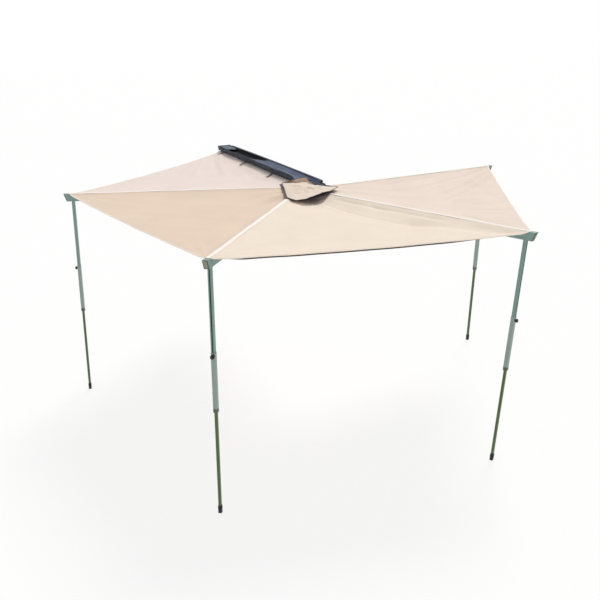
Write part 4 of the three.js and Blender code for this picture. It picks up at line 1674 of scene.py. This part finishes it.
@dataclass(frozen=True)
class StorageBag:
    """The open storage bag along the board: a trough painted dark inside for the shade in its hollow, with a piped lip,
    a lid, a zip and three straps.
    """

    fan: Fan
    wall: float = 0.003
    neck_end: float = 0.205
    mouth_start: float = 0.300
    corner: float = 0.016
    wave: float = 0.004
    lid_start: float = 0.05
    lid_end: float = 1.30
    lid_slant: float = 0.58
    lid_drop: float = 0.012
    stations: int = 260
    far_cover: float = 0.22
    board_back: float = 0.0022
    back_arch: float = 0.010
    back_height: float = 0.044
    back_seam: int = 22
    front_height: float = 0.058
    zip_from: float = 0.36
    zip_to: float = 2.44
    tooth_pitch: float = 0.0075
    strap_width: float = 0.016
    strap_thick: float = 0.0019
    strap_slant: float = 0.076
    strap_reach: float = 0.086

    def box(self) -> tuple[Array, Array]:
        """The trough's low and high corners in the part's frame."""
        low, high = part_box("storage_bag")
        return np.array(low), np.array(high)

    def widths(self, x: Array) -> tuple[Array, Array, Array, Array]:
        """Back wall, front wall, floor and front lip along the bag, eased from its neck to its mouth.

        Args:
            x: places along the bag, from the pin.

        Returns:
            The back wall's y, the front wall's foot, the floor's z and the front lip's z.
        """
        low, high = self.box()
        open_share = smooth((x - self.neck_end) / (self.mouth_start - self.neck_end))
        back = np.full_like(x, low[1] + 0.0008)
        neck, mouth = low[1] + 0.058, high[1] - 0.012
        foot = neck + (mouth - neck) * open_share
        floor = np.full_like(x, low[2] + 0.003 * (1.0 - open_share) + 0.0006)
        lip = floor + 0.009 + (high[2] - floor - 0.013) * smooth((x - self.neck_end - 0.03) / 0.12)
        return back, foot, floor, lip

    def section(self, x: Array) -> Array:
        """The trough's outer face at each station.

        It runs from the back lip down, across the floor and up the front wall, as five quadratic curves: each
        is pulled to the middle of its ends, or to the corner at the bottom's two corners. The front wall leans
        out and waves along the bag.

        Args:
            x: places along the bag, from the pin.

        Returns:
            Stations by points by three, in the part's frame.
        """
        back, foot, floor, lip = self.widths(x)
        tall = lip - floor
        share = tall / self.front_height
        sway = share * (self.wave * np.sin(2 * math.pi * x / 0.64) + 0.0012 * np.sin(2 * math.pi * x / 0.17 + 1.0))
        arch = self.back_arch * np.sin(math.pi * np.clip((x - 0.075) / 2.425, 0.0, 1.0)) ** 0.8
        back_top = floor + np.minimum(self.back_height, tall + 0.02) + arch
        dip = 0.0022 * np.sin(2 * math.pi * x / 0.43) * share
        radius = np.minimum(self.corner, tall * 0.4)
        ends = [
            (back, back_top), (back, floor + radius), (back + radius, floor), (foot - radius, floor),
            (foot + 0.001, floor + radius), (foot + 0.008 + sway, lip + dip),
        ]
        knots = np.stack([np.stack(end, axis=-1) for end in ends], axis=1)
        pulls = (knots[:, 1:] + knots[:, :-1]) / 2.0
        pulls[:, 1], pulls[:, 3] = np.stack([back, floor], axis=-1), np.stack([foot, floor], axis=-1)
        first, pull, last = (part[:, :, None] for part in (knots[:, :-1], pulls, knots[:, 1:]))
        t = np.linspace(0.0, 1.0, 9)[:-1, None]
        curves = (1 - t) ** 2 * first + 2 * t * (1 - t) * pull + t**2 * last
        outline = np.concatenate([curves.reshape(len(x), -1, 2), knots[:, -1:]], axis=1)
        round_it = np.sin(math.pi * np.linspace(0, 1, outline.shape[1]))[None]
        hang = 0.0018 * round_it * np.sin(2 * math.pi * x / 0.27)[:, None]
        along = np.broadcast_to((x + self.fan.pin[0])[:, None], outline.shape[:2])
        return np.stack([along, outline[..., 0], outline[..., 1] + np.maximum(hang, 0.0)], axis=-1)

    def trough(self) -> None:
        """The trough's shell, its inner faces near-black as painted shade in its hollow."""
        low, high = self.box()
        start, end = low[0] - self.fan.pin[0] + 0.001, high[0] - self.fan.pin[0] - 0.001
        x = np.unique(np.concatenate([np.linspace(start, end, self.stations), np.linspace(0.18, 0.36, 40)]))
        points = self.section(x)
        shape = facing_up(grid_shape(points)).turned()
        # Painted shade: the inner faces take the near-black cloth.
        wall = Wall(self.wall, inside=HOLLOW_SHADE_CLOTH)
        made = make_piece("bag_trough", shape, "root", BAG_CLOTH, ["storage_bag"], wall, 50.0)
        girth, long = laid_out(points)[1], float(end - start)
        pipes = [
            self.pipe("bag_front_piping", points[:, -1], 0.0038), self.pipe("bag_back_piping", points[:, 0], 0.003)
        ]

    def pipe(self, name: str, path: Array, radius: float) -> Piece:
        """A corded edge over one lip of the trough."""
        return make_piece(name, sweep(circle(radius, 12), path), "root", BAG_CLOTH, angle=SOFT)

    def sheet_piece(self, name: str, points: Array, finish: Finish, thick: float) -> Piece:
        """A single layer of cloth from its grid, facing up."""
        return make_piece(name, facing_up(grid_shape(points)), "root", finish, (), Wall(thick), SOFT)

    def lid(self) -> None:
        """The lid, pushed down into the trough: it slopes up to the back wall and sags between.

        Its far edge is cut on a slant. Lengthwise rolls are sine bands across it that drift along the bag.
        """
        share = np.linspace(0.0, 1.0, 180)[:, None]
        across = np.linspace(0.0, 1.0, 34)[None, :]
        x = self.lid_start + (self.lid_end + self.lid_slant * across**1.15 - self.lid_start) * share
        back, foot, floor, lip = self.widths(x)
        inside = self.wall + 0.0015
        y = back + inside + (foot - back - 2 * inside) * across
        tall = lip - floor
        high = floor + 0.040 + self.back_arch * smooth((x - 0.1) / 0.9)
        near = floor + 0.010 + 0.52 * tall
        roll = 0.0022 * np.sin(2 * math.pi * (across * 3.2 + 0.5 * np.sin(x * 2.1))) * np.sin(math.pi * across)
        z = high + (near - high) * across - self.lid_drop * 4 * across * (1 - across) + roll
        z = np.maximum(z + 0.0015 * np.sin(x * 9.0) * np.sin(math.pi * across), floor + inside + 0.001)
        z = z - 0.010 * smooth((share - 0.94) / 0.06) * across
        points = np.stack([x + self.fan.pin[0], y, z], axis=-1)
        # Painted light: the lid takes the sky-lit copy of the bag's cloth.
        made = self.sheet_piece("bag_lid", points, SKY_LIT_LID_CLOTH, 0.0016)
        edge = make_piece("bag_lid_edge", sweep(circle(0.0032, 10), points[-1, ::-1]), "root", BINDING, angle=SOFT)

    def far_flap(self) -> None:
        """The closed last stretch of the lid at the far end, gently crowned."""
        _, high = self.box()
        end = high[0] - self.fan.pin[0]
        x = np.linspace(end - self.far_cover, end - 0.002, 50)[:, None] + np.zeros((1, 24))
        across = np.linspace(0.0, 1.0, 24)[None, :]
        back, foot, floor, lip = self.widths(x)
        y = back + self.wall + (foot + 0.004 - back - self.wall) * across
        z = floor + 0.041 + (lip - floor - 0.047) * across + 0.005 * np.sin(math.pi * across)
        z = z - 0.012 * smooth((end + 0.05 - self.far_cover - x) / 0.05) + 0.0015 * np.sin(x * 41.0 + 3.0 * across)
        points = np.stack([x + self.fan.pin[0], y, z], axis=-1)
        made = self.sheet_piece("bag_far_flap", points, TEAL_CLOTH, 0.0016)
        laid_out(points)

    def zip_line(self) -> None:
        """The zip along the front wall: a flat tape, and a row of small teeth along its middle."""
        section = self.section(np.linspace(self.zip_from, self.zip_to, 200))
        path = section[:, -3] * 0.55 + section[:, -1] * 0.45
        tape = sweep(np.array([[-0.011, 0.0002], [0.011, 0.0002], [0.011, 0.0012], [-0.011, 0.0012]]), path, OUT)
        run = lengths_along(path)
        spots = sampled(path, run, np.arange(0.004, run[-1], self.tooth_pitch)) + OUT * 0.0018
        half = np.array([0.0022, 0.0012, 0.0034])
        corners = np.array([[i, j, k] for i in (-1, 1) for j in (-1, 1) for k in (-1, 1)]) * half
        corners[corners[:, 1] > 0] *= np.array([0.6, 1.0, 0.7])
        faces = np.array([[0, 1, 3, 2], [4, 6, 7, 5], [0, 4, 5, 1], [2, 3, 7, 6], [0, 2, 6, 4], [1, 5, 7, 3]])
        tooth = Shape(corners, [(faces, corners[faces][..., [0, 2]])]).outward()
        teeth = row_of(tooth, spots, np.tile(np.eye(3), (len(spots), 1, 1)))
        make_piece("bag_zip_tape", tape, "root", STRAP)
        make_piece("bag_zip_teeth", teeth, "root", BLACK_PLASTIC)

    def lip_stitches(self) -> None:
        """A row of stitches under the front piping."""
        path = self.section(np.linspace(0.34, 2.48, 220))[:, -2] + 0.0006 * OUT
        make_piece("bag_lip_stitches", stitch_row(path, OUT, 0.009, 0.006, 0.0013), "root", DARK_THREAD)

    def neck(self) -> None:
        """The gathered neck: a soft flat tube that tapers from the near end to the cover's corner, with a tie."""
        path = np.array([
            [0.085, 0.024, 0.017], [0.010, 0.018, 0.019], [-0.030, -0.010, 0.018], [-0.066, -0.046, 0.015],
            [-0.094, -0.082, 0.013],
        ])
        line = open_curve(path, 60) + self.box()[0]
        share = np.linspace(0.0, 1.0, 60)
        turn = np.linspace(0.0, 2 * math.pi, 36, endpoint=False)
        pleat = 1.0 + 0.10 * np.cos(7 * turn)
        profile = np.stack([0.027 * np.cos(turn) * pleat, 0.0088 * np.sin(turn) * pleat], axis=1)
        scale = (1.0 - 0.62 * smooth(share)) * (1.0 - 0.22 * np.exp(-(((share - 0.86) / 0.05) ** 2)))
        make_piece("bag_neck", sweep(profile, line, scale=scale), "root", BAG_CLOTH, angle=SOFT)
        make_piece("bag_neck_tie", sweep(circle(0.0098, 20, 0.42), line[49:54]), "root", STRAP, angle=SOFT)

    def back_flap(self, stations: int = 240, columns: int = 28) -> None:
        """The cloth folded over the board: up from the back lip, across the board's top and down its back.

        Args:
            stations: points along the board.
            columns: points across it.
        """
        low, _ = self.box()
        board_low, board_high = (np.array(corner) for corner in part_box("backing_board"))
        x = np.linspace(board_low[0] + 0.001, board_high[0] - 0.001, stations)
        out = self.board_back
        crown = board_high[2] + out
        arch = self.back_arch * np.sin(math.pi * np.linspace(0.0, 1.0, stations)) ** 0.8
        knots = np.array([
            [low[1] + 0.0012, crown - 0.004], [low[1] - 0.0002, crown + 0.0004], [low[1] - 0.004, crown + 0.0008],
            [board_low[1] + 0.004, crown + 0.0008], [board_low[1] - out * 0.7, crown - 0.0006],
            [board_low[1] - out, crown - 0.006], [board_low[1] - out, crown - 0.022],
        ])
        line = open_curve(knots, columns)
        ripple = 0.0007 * (1.0 + np.sin(x * 26.0) * np.sin(x * 7.0 + 1.0)) + arch
        height = line[None, :, 1] + ripple[:, None] * np.linspace(1.0, 0.2, columns)[None]
        points = np.stack(np.broadcast_arrays(x[:, None], line[None, :, 0], height), axis=-1)
        made = self.sheet_piece("bag_back_flap", points, BAG_CLOTH, 0.0014)
        seam = points[:, self.back_seam] - 0.0006 * OUT
        make_piece("bag_back_stitches", stitch_row(seam, -OUT, 0.012, 0.007, 0.0013), "root", DARK_THREAD)

    def strap(self, number: int) -> None:
        """A strap that comes out from under the bag and lies over the canopy, with its turned-up hook end.

        Its line goes from the bag's front wall outwards; it falls with the cloth, and its last part curls up.

        Args:
            number: 1 to 3.
        """
        low, high = (np.array(corner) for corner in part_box(f"bag_strap_{number}"))
        under, front = float(self.box()[0][2]), float(self.box()[1][1])
        start = np.array([high[0] + 0.004, front - 0.022])
        way = np.array([-self.strap_slant, self.strap_reach + 0.022])
        t = np.linspace(0.02, 1.0, 60)
        bend = np.sin(math.pi * np.linspace(0.0, 1.0, 60)) * (-0.010 if number == 2 else 0.010)
        plan = start + way * t[:, None] + bend[:, None] * unit(np.array([-way[1], way[0]]))
        t = np.linspace(0.0, 1.0, 60)
        z = low[2] + (high[2] - low[2]) * (1.0 - t) - 0.0012 + 0.010 * smooth((t - 0.86) / 0.14) ** 2
        z = np.maximum(z, self.cloth_height(Panel(1, self.fan), plan) + 0.0022)
        z[t < 0.22] = np.minimum(z[t < 0.22], under - 0.0008)
        half, thick = self.strap_width / 2.0, self.strap_thick
        profile = rounded(np.array([[-half, 0.0], [half, 0.0], [half, thick], [-half, thick]]), 0.0008, 2)
        webbing = sweep(profile, np.column_stack([plan, z]))
        node = f"bag_strap_{number}"
        made = make_piece(f"{node}_webbing", webbing, "root", STRAP, [node], angle=SOFT)
        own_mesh(made)

    def cloth_height(self, panel: Panel, plan: Array) -> Array:
        """Height of a panel's cloth under plan points.

        Args:
            panel: the cloth.
            plan: points by two, near the panel's first side.

        Returns:
            The height of the nearest of a fine grid of the cloth's points.
        """
        grid = panel.surface(np.linspace(0.0, 1.0, 240)[:, None], np.linspace(0.0, 0.4, 90)[None, :])
        grid = grid.reshape(-1, 3)
        away = np.linalg.norm(grid[None, :, :2] - plan[:, None], axis=2)
        return grid[away.argmin(axis=1), 2]

    def buckle(self, number: int) -> None:
        """A ladder buckle on the front wall above a strap: a rounded frame with a middle bar.

        Args:
            number: 1 to 3.
        """
        _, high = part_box(f"bag_strap_{number}")
        section = self.section(np.array([high.x - 0.0125 - self.fan.pin[0]]))[0]
        wall = section[-1] * 0.45 + section[-6] * 0.55 + 0.004 * OUT
        place = Place(wall, np.array([[1.0, 0.0, 0.0], [0.0, 0.14, 0.99], [0.0, 0.99, -0.14]]))
        rim = box_outline(0.034, 0.026, 0.005, 4)
        ring = loop_band(circle(0.0026, 8), place.world(np.column_stack([rim, np.zeros(len(rim))])), OUT)
        bar = np.linspace([-0.016, 0.001, 0.0], [0.016, 0.001, 0.0], 6)
        bar = sweep(circle(0.0024, 8), place.world(bar), OUT)
        make_piece(f"bag_buckle_{number}", merged([ring.outward(), bar]), "root", BLACK_PLASTIC)

    def build(self) -> None:
        """Builds the trough, lid, flaps, zip, stitches, straps and buckles."""
        self.trough()
        self.lid()
        self.far_flap()
        self.zip_line()
        self.lip_stitches()
        self.neck()
        self.back_flap()
        for number in (1, 2, 3):
            self.strap(number)
            self.buckle(number)
        eased_copy("bag_end_panel", TEAL_CLOTH, OUT, 0.0014)


# Frame and fittings


def widest_face(piece: Piece, towards: Array) -> tuple[Place, Array]:
    """The flat face of a piece that shows the most area towards a direction.

    Args:
        piece: an object at the origin.
        towards: a unit direction.

    Returns:
        A place on the face with its third axis outwards, and the face's half sizes on the first two.
    """
    faces = piece.data.polygons
    shown = np.maximum(read_all(faces, "normal", 3) @ towards, 0.0) ** 4
    best = faces[int(np.argmax(read_all(faces, "area") * shown))]
    corners = np.array([piece.data.vertices[i].co for i in best.vertices])
    out = unit(np.array(best.normal, float))
    side = unit(np.cross(UP, out))
    axes = np.stack([side, np.cross(out, side), out])
    flat = corners @ axes.T
    middle = (flat.max(axis=0) + flat.min(axis=0)) / 2.0
    return Place(middle @ axes, axes), np.ptp(flat, axis=0)[:2] / 2.0


@dataclass(frozen=True)
class Arm:
    """One arm: its channel, cranked tongue, bolt and slanted end cap with an inset plate and two screws."""

    number: int
    fan: Fan
    inset_margin: float = 0.007
    inset_depth: float = 0.0016
    screw: float = 0.0032
    beads: tuple[tuple[float, float], ...] = ((0.016, 0.0024), (0.052, 0.0032))
    bead_ends: tuple[float, float] = (0.012, 0.034)

    def build(self) -> None:
        """Eases the arm's solids and adds the cap's inset, its screws and the beads."""
        arm = f"arm_{self.number}"
        ahead = np.append(self.fan.ahead[self.number - 1], 0.0)
        eased_copy(arm, ANODISED, ahead, 0.0012)
        eased_copy(f"{arm}_tongue", STEEL, ahead, 0.0010)
        eased_copy(f"{arm}_root_bolt", PLATED, UP, 0.0007)
        self.cap_inset(eased_copy(f"{arm}_end_cap", CAP_PLASTIC, ahead, 0.0022), ahead)
        self.bead(ahead)

    def cap_inset(self, cap: Piece, ahead: Array) -> None:
        """A shallow pale plate on the cap's face, with a screw at its top and bottom.

        Args:
            cap: the end cap.
            ahead: the arm's direction.
        """
        arm = f"arm_{self.number}"
        place, half = widest_face(cap, ahead)
        wide, tall = 2 * (half - self.inset_margin)
        d = self.inset_depth
        stations = [(-0.001, 0.0), (d * 0.5, 0.0), (d * 0.9, 0.0004), (d, 0.0012), (d * 0.7, 0.0030), (d * 0.7, 0.0060)]
        make_piece(f"{arm}_cap_inset", slab(box_outline(wide, tall, 0.006, 6), stations, place), arm, CAP_LABEL)
        reach = half[1] - self.inset_margin - 0.009
        _, rise, out = place.axes
        spots = (place.origin + rise * (reach * side) + out * d * 0.6 for side in (-1.0, 1.0))
        heads = [rivet(Place(spot, place.axes), self.screw, 0.0020) for spot in spots]
        make_piece(f"{arm}_cap_screws", merged(heads), arm, PLATED)

    def bead(self, ahead: Array) -> None:
        """Two raised beads along each side of the channel, below the cloth, as such extrusions have.

        Args:
            ahead: the arm's direction.
        """
        arm = f"arm_{self.number}"
        left = np.append(self.fan.left[self.number - 1], 0.0)
        points = node_points(arm) - np.append(self.fan.pin, 0.0)
        along, across = points @ ahead, points @ left
        run = np.linspace(along.min() + self.bead_ends[0], along.max() - self.bead_ends[1], 24)[:, None]
        beads = []
        for edge in (across.min(), across.max()):
            for level, size in self.beads:
                line = np.append(self.fan.pin, self.fan.top - level) + run * ahead + left * edge
                beads.append(sweep(circle(size, 10, 0.30)[:, ::-1], line))
        make_piece(f"{arm}_beads", merged(beads), arm, ANODISED)


@dataclass(frozen=True)
class Leg:
    """One telescopic leg: slotted upper channel, sleeve with a collar, lower tube, ribbed foot and clamp knob."""

    number: int
    fan: Fan
    collar_height: float = 0.030
    collar_thickness: float = 0.0010
    rib: float = 0.0016
    rib_half: float = 0.013
    rib_levels: tuple[float, float, float] = (0.040, 0.049, 0.058)
    corner: float = 0.003
    slot_top: float = 0.142
    slot_end: float = 0.020

    def square_ring(
        self, place: Place, height: float, half: Array, middle: Array, tall: float, thick: float
    ) -> Shape:
        """A rounded square band round the leg.

        Args:
            place: the leg's frame.
            height: the band's middle along the leg.
            half: half sizes of what it goes round.
            middle: its centre across the leg.
            tall: its height.
            thick: its thickness.

        Returns:
            The closed band, facing outwards.
        """
        line = box_outline(2 * half[0], 2 * half[1], self.corner, 5) + middle
        path = place.world(np.column_stack([line, np.full(len(line), height)]))
        low, high, under = -tall / 2, tall / 2, -0.0004
        profile = rounded(np.array([[under, low], [thick, low], [thick, high], [under, high]]), thick * 0.4, 3)
        return loop_band(profile, path, place.axes[2]).outward()

    def across(self, place: Place, node: str) -> tuple[Array, Array, float, float]:
        """A node's reach across and along the leg.

        Args:
            place: the leg's frame.
            node: a node of the leg.

        Returns:
            Its half sizes and its middle across the leg, and its lowest and highest places along it.
        """
        points = place.local(node_points(node))
        low, high = points.min(axis=0), points.max(axis=0)
        return (high - low)[:2] / 2.0, (high + low)[:2] / 2.0, float(low[2]), float(high[2])

    def build(self) -> None:
        """Eases the leg's solids and adds its collar, mouth band, a black strip painting the slot's shade, foot ribs
        and knob cap.
        """
        leg, place = f"leg_{self.number}", self.fan.leg_place(self.number)
        up = place.axes[2]
        eased_copy(f"{leg}_hinge_pin", PLATED, np.append(self.fan.left[self.number - 1], 0.0), 0.0007)
        eased_copy(f"{leg}_upper", ANODISED, up, 0.0009)
        eased_copy(f"{leg}_sleeve", BRIGHT, up, 0.0012)
        eased_copy(f"{leg}_lower_tube", OLIVE_TUBE, up, 0.0010)
        eased_copy(f"{leg}_foot", BLACK_PLASTIC, up, 0.0022)
        eased_copy(f"{leg}_knob", BLACK_PLASTIC, up, 0.0010, 40.0)
        self.sleeve_bands(leg, place)
        self.slot_strip(leg, place)
        _, middle, low, _ = self.across(place, f"{leg}_foot")
        narrow = np.full(2, self.rib_half)
        ribs = [self.square_ring(place, low + level, narrow, middle, 0.0035, self.rib) for level in self.rib_levels]
        make_piece(f"{leg}_foot_ribs", merged(ribs), f"{leg}_slider", BLACK_PLASTIC)
        self.knob_cap(leg, place)

    def sleeve_bands(self, leg: str, place: Place) -> None:
        """The dark collar at the sleeve's lower end and the band round its mouth.

        Args:
            leg: the leg's name.
            place: the leg's frame.
        """
        half, middle, low, high = self.across(place, f"{leg}_sleeve")
        half, tall = half - 0.0002, self.collar_height
        collar = self.square_ring(place, low + tall / 2, half, middle, tall, self.collar_thickness)
        make_piece(f"{leg}_collar", collar, f"{leg}_slider", CAP_PLASTIC)
        mouth = self.square_ring(place, high - 0.006, half, middle, 0.009, 0.0012)
        make_piece(f"{leg}_mouth_band", mouth, f"{leg}_slider", BRIGHT)

    def slot_strip(self, leg: str, place: Place) -> None:
        """A thin black strip on the upper profile's outer face: painted shade that stands in for its slot.

        Args:
            leg: the leg's name.
            place: the leg's frame.
        """
        half, middle, _, _ = self.across(place, f"{leg}_upper")
        strip = np.array([[-0.0044, -0.0002], [0.0044, -0.0002], [0.0040, 0.0005], [-0.0040, 0.0005]])
        run = np.full((12, 3), [middle[0] + half[0] + 0.0001, middle[1], 0.0])
        run[:, 2] = np.linspace(-self.slot_end, -self.slot_top, 12)
        # Painted shade: the black strip stands for the shaded slot.
        make_piece(f"{leg}_slot_strip", sweep(strip, place.world(run), place.axes[0]), leg, BLACK_PLASTIC)

    def knob_cap(self, leg: str, place: Place) -> None:
        """The round cap on the knob's outer end.

        Args:
            leg: the leg's name.
            place: the leg's frame.
        """
        half, middle, low, high = self.across(place, f"{leg}_knob")
        centre = np.array([middle[0] + half[0] - 0.0002, middle[1], (high + low) / 2.0])
        spot = Place(place.world(centre), place.axes[[1, 2, 0]])
        profile = [
            (0.0085, 0.0), (0.0085, 0.0010), (0.0078, 0.0016), (0.0046, 0.0018), (0.0042, 0.0012), (0.0004, 0.0011)
        ]
        make_piece(f"{leg}_knob_cap", lathe(profile, spot, 28), f"{leg}_knob", BLACK_PLASTIC)


@dataclass(frozen=True)
class Board:
    """The backing board with its rail, end cap and brackets, the hub yoke and pin, and their bolts."""

    fan: Fan
    bolt: float = 0.0062
    bolt_height: float = 0.0056
    screw: float = 0.0032

    def build(self) -> None:
        """Eases the board's and hub's solids and adds their bolts."""
        along = np.array([1.0, 0.0, 0.0])
        eased_copy("backing_board", ANODISED, along, 0.0010)
        eased_copy("sail_rail", BRIGHT, along, 0.0010)
        eased_copy("board_end_cap", CAP_PLASTIC, along, 0.0020)
        eased_copy("hub_yoke", STEEL, UP, 0.0012)
        eased_copy("hub_pin", PLATED, UP, 0.0008)
        eased_copy("hub_nut", PLATED, UP, 0.0008)
        for number in (1, 2, 3):
            eased_copy(f"mounting_bracket_{number}", STEEL, along, 0.0008)
            self.bracket_bolts(number)
        self.yoke_bolts()
        self.cap_screws()

    def bolts(self, name: str, spots: Sequence[Spot], axes: Array) -> None:
        """Hexagon bolts as one piece, each at its spot, on axes whose last row points outwards."""
        heads = [hex_bolt(Place(np.array(spot), axes), self.bolt, self.bolt_height) for spot in spots]
        make_piece(name, merged(heads), "root", PLATED)

    def bracket_bolts(self, number: int) -> None:
        """Two bolts through a bracket's upright into the board's back.

        Args:
            number: the bracket's, 1 to 3.
        """
        low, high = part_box(f"mounting_bracket_{number}")
        middle = (low.x + high.x) / 2.0
        spots = [(middle + aside, high.y - 0.005, high.z - 0.026) for aside in (-0.017, 0.017)]
        self.bolts(f"bracket_{number}_bolts", spots, np.array([[1.0, 0.0, 0.0], [0.0, 0.0, 1.0], [0.0, -1.0, 0.0]]))

    def yoke_bolts(self) -> None:
        """Four bolts that hold the yoke's plate to the board."""
        low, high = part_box("hub_yoke")
        across, heights = (high.x - 0.014, high.x - 0.102), (low.z + 0.024, high.z - 0.026)
        spots = [(x, low.y + 0.008, z) for x in across for z in heights]
        self.bolts("yoke_bolts", spots, np.array([[-1.0, 0.0, 0.0], [0.0, 0.0, 1.0], [0.0, 1.0, 0.0]]))

    def cap_screws(self) -> None:
        """Four screws in the board's end cap."""
        low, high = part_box("board_end_cap")
        axes = np.array([[0.0, 1.0, 0.0], [0.0, 0.0, 1.0], [1.0, 0.0, 0.0]])
        middle = (low.y + high.y) / 2.0
        spots = [np.array([high.x, middle, z]) for z in np.linspace(low.z + 0.016, high.z - 0.016, 4)]
        heads = [rivet(Place(spot, axes), self.screw, 0.0020) for spot in spots]
        make_piece("board_cap_screws", merged(heads), "root", PLATED)


# Studio


@dataclass(frozen=True)
class Studio:
    """The camera at the photograph's viewing angle, the pale floor, a soft sun and an even sky."""

    image: float = 600.0
    focal: float = 715.6
    centre: tuple[float, float] = (291.0, 297.9)
    yaw: float = -25.18
    pitch: float = 20.98
    roll: float = -0.64
    location: tuple[float, float, float] = (-6.2187, 3.1267, 3.551)
    sky: float = 0.54
    sun: float = 1.90
    sun_from: tuple[float, float, float] = (0.42, -0.46, 1.0)
    sun_spread: float = 22.0
    floor_half: float = 60.0
    floor_depth: float = 0.0006
    floor_veil: float = 0.82
    floor_shade: Colour = (0.93, 0.93, 0.93, 1.0)
    sky_shade: Colour = (0.985, 0.992, 1.0, 1.0)
    sun_shade: Spot = (1.0, 0.985, 0.96)

    def camera(self) -> None:
        """Sets the camera: its angles are in degrees, its focal length and centre in pixels of the photo."""
        yaw, pitch, roll = (math.radians(value) for value in (self.yaw, self.pitch, self.roll))
        ahead = np.array([math.cos(yaw) * math.cos(pitch), math.sin(yaw) * math.cos(pitch), -math.sin(pitch)])
        level = np.array([math.sin(yaw), -math.cos(yaw), 0.0])
        rise = np.cross(level, ahead)
        right = level * math.cos(roll) + rise * math.sin(roll)
        up = -level * math.sin(roll) + rise * math.cos(roll)
        data = bpy.data.cameras.new("photo camera")
        data.sensor_width = 36.0
        data.lens = self.focal / self.image * data.sensor_width
        data.shift_x = (self.image / 2 - self.centre[0]) / self.image
        data.shift_y = (self.centre[1] - self.image / 2) / self.image
        data.clip_end = 200.0
        made = bpy.data.objects.new("photo camera", data)
        turn = np.eye(4)
        turn[:3, :3] = np.stack([right, up, -ahead], axis=1)
        turn[:3, 3] = self.location
        made.matrix_world = Matrix(turn.tolist())
        bpy.context.scene.collection.objects.link(made)
        bpy.context.scene.camera = made

    def seen(self, graph: Graph) -> Socket:
        """One where a ray comes from the camera, a reflection or a view through glass, otherwise zero.

        Args:
            graph: the nodes that read it.

        Returns:
            The value's socket.
        """
        path = graph.node("ShaderNodeLightPath")
        first = graph.math("MAXIMUM", path.outputs["Is Camera Ray"], path.outputs["Is Glossy Ray"])
        return graph.math("MAXIMUM", first, path.outputs["Is Transmission Ray"])

    def floor(self) -> None:
        """A wide pale floor that keeps the shadow under a veil of white."""
        corners = np.array([[-1.0, -1.0, 0.0], [1.0, -1.0, 0.0], [1.0, 1.0, 0.0], [-1.0, 1.0, 0.0]])
        corners = corners * self.floor_half - UP * self.floor_depth
        faces = np.array([[0, 1, 2, 3]])
        made = bpy.data.objects.new("floor", Shape(corners, [(faces, corners[faces][..., :2])]).mesh("floor"))
        bpy.context.scene.collection.objects.link(made)
        graph = Graph(bpy.data.materials.new("pale floor"))
        graph.paint(Base_Color=self.floor_shade, Roughness=0.9, Specular_IOR_Level=0.1)
        white = graph.node("ShaderNodeEmission", {"Color": WHITE, "Strength": 1.0})
        veil = graph.math("MULTIPLY", self.seen(graph), self.floor_veil)
        mix = graph.node("ShaderNodeMixShader", {0: veil, 1: graph.surface, 2: white})
        graph.feed(graph.tree.nodes["Material Output"].inputs["Surface"], mix)
        made.data.materials.append(graph.owner)

    def light(self) -> None:
        """An even sky, white to the camera, and one soft sun."""
        graph = Graph(bpy.data.worlds.new("studio"))
        graph.tree.nodes.clear()
        lit = graph.node("ShaderNodeBackground", {"Color": self.sky_shade, "Strength": self.sky})
        white = graph.node("ShaderNodeBackground", {"Color": WHITE, "Strength": 1.0})
        mix = graph.node("ShaderNodeMixShader", {0: self.seen(graph), 1: lit, 2: white})
        graph.node("ShaderNodeOutputWorld", {"Surface": mix})
        bpy.context.scene.world = graph.owner
        data = bpy.data.lights.new("soft sun", "SUN")
        data.energy = self.sun
        data.angle = math.radians(self.sun_spread)
        data.color = self.sun_shade
        lamp = bpy.data.objects.new("soft sun", data)
        lamp.rotation_euler = Vector(self.sun_from).to_track_quat("Z", "Y").to_euler()
        bpy.context.scene.collection.objects.link(lamp)

    def build(self) -> None:
        """Sets the view, the floor and the light."""
        bpy.context.scene.view_settings.view_transform = "Standard"
        self.camera()
        self.floor()
        self.light()


def main() -> None:
    """Builds the scene: studio, frame, legs, canopy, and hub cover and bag."""
    logging.basicConfig(level=logging.INFO, format="%(name)s: %(message)s")
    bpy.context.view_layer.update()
    Studio().build()
    fan = Fan.read()
    Board(fan).build()
    for number in range(1, 5):
        Arm(number, fan).build()
        Leg(number, fan).build()
    Canopy(fan).build()
    HubCover(fan).build()
    StorageBag(fan).build()


if __name__ == "__main__":
    main()
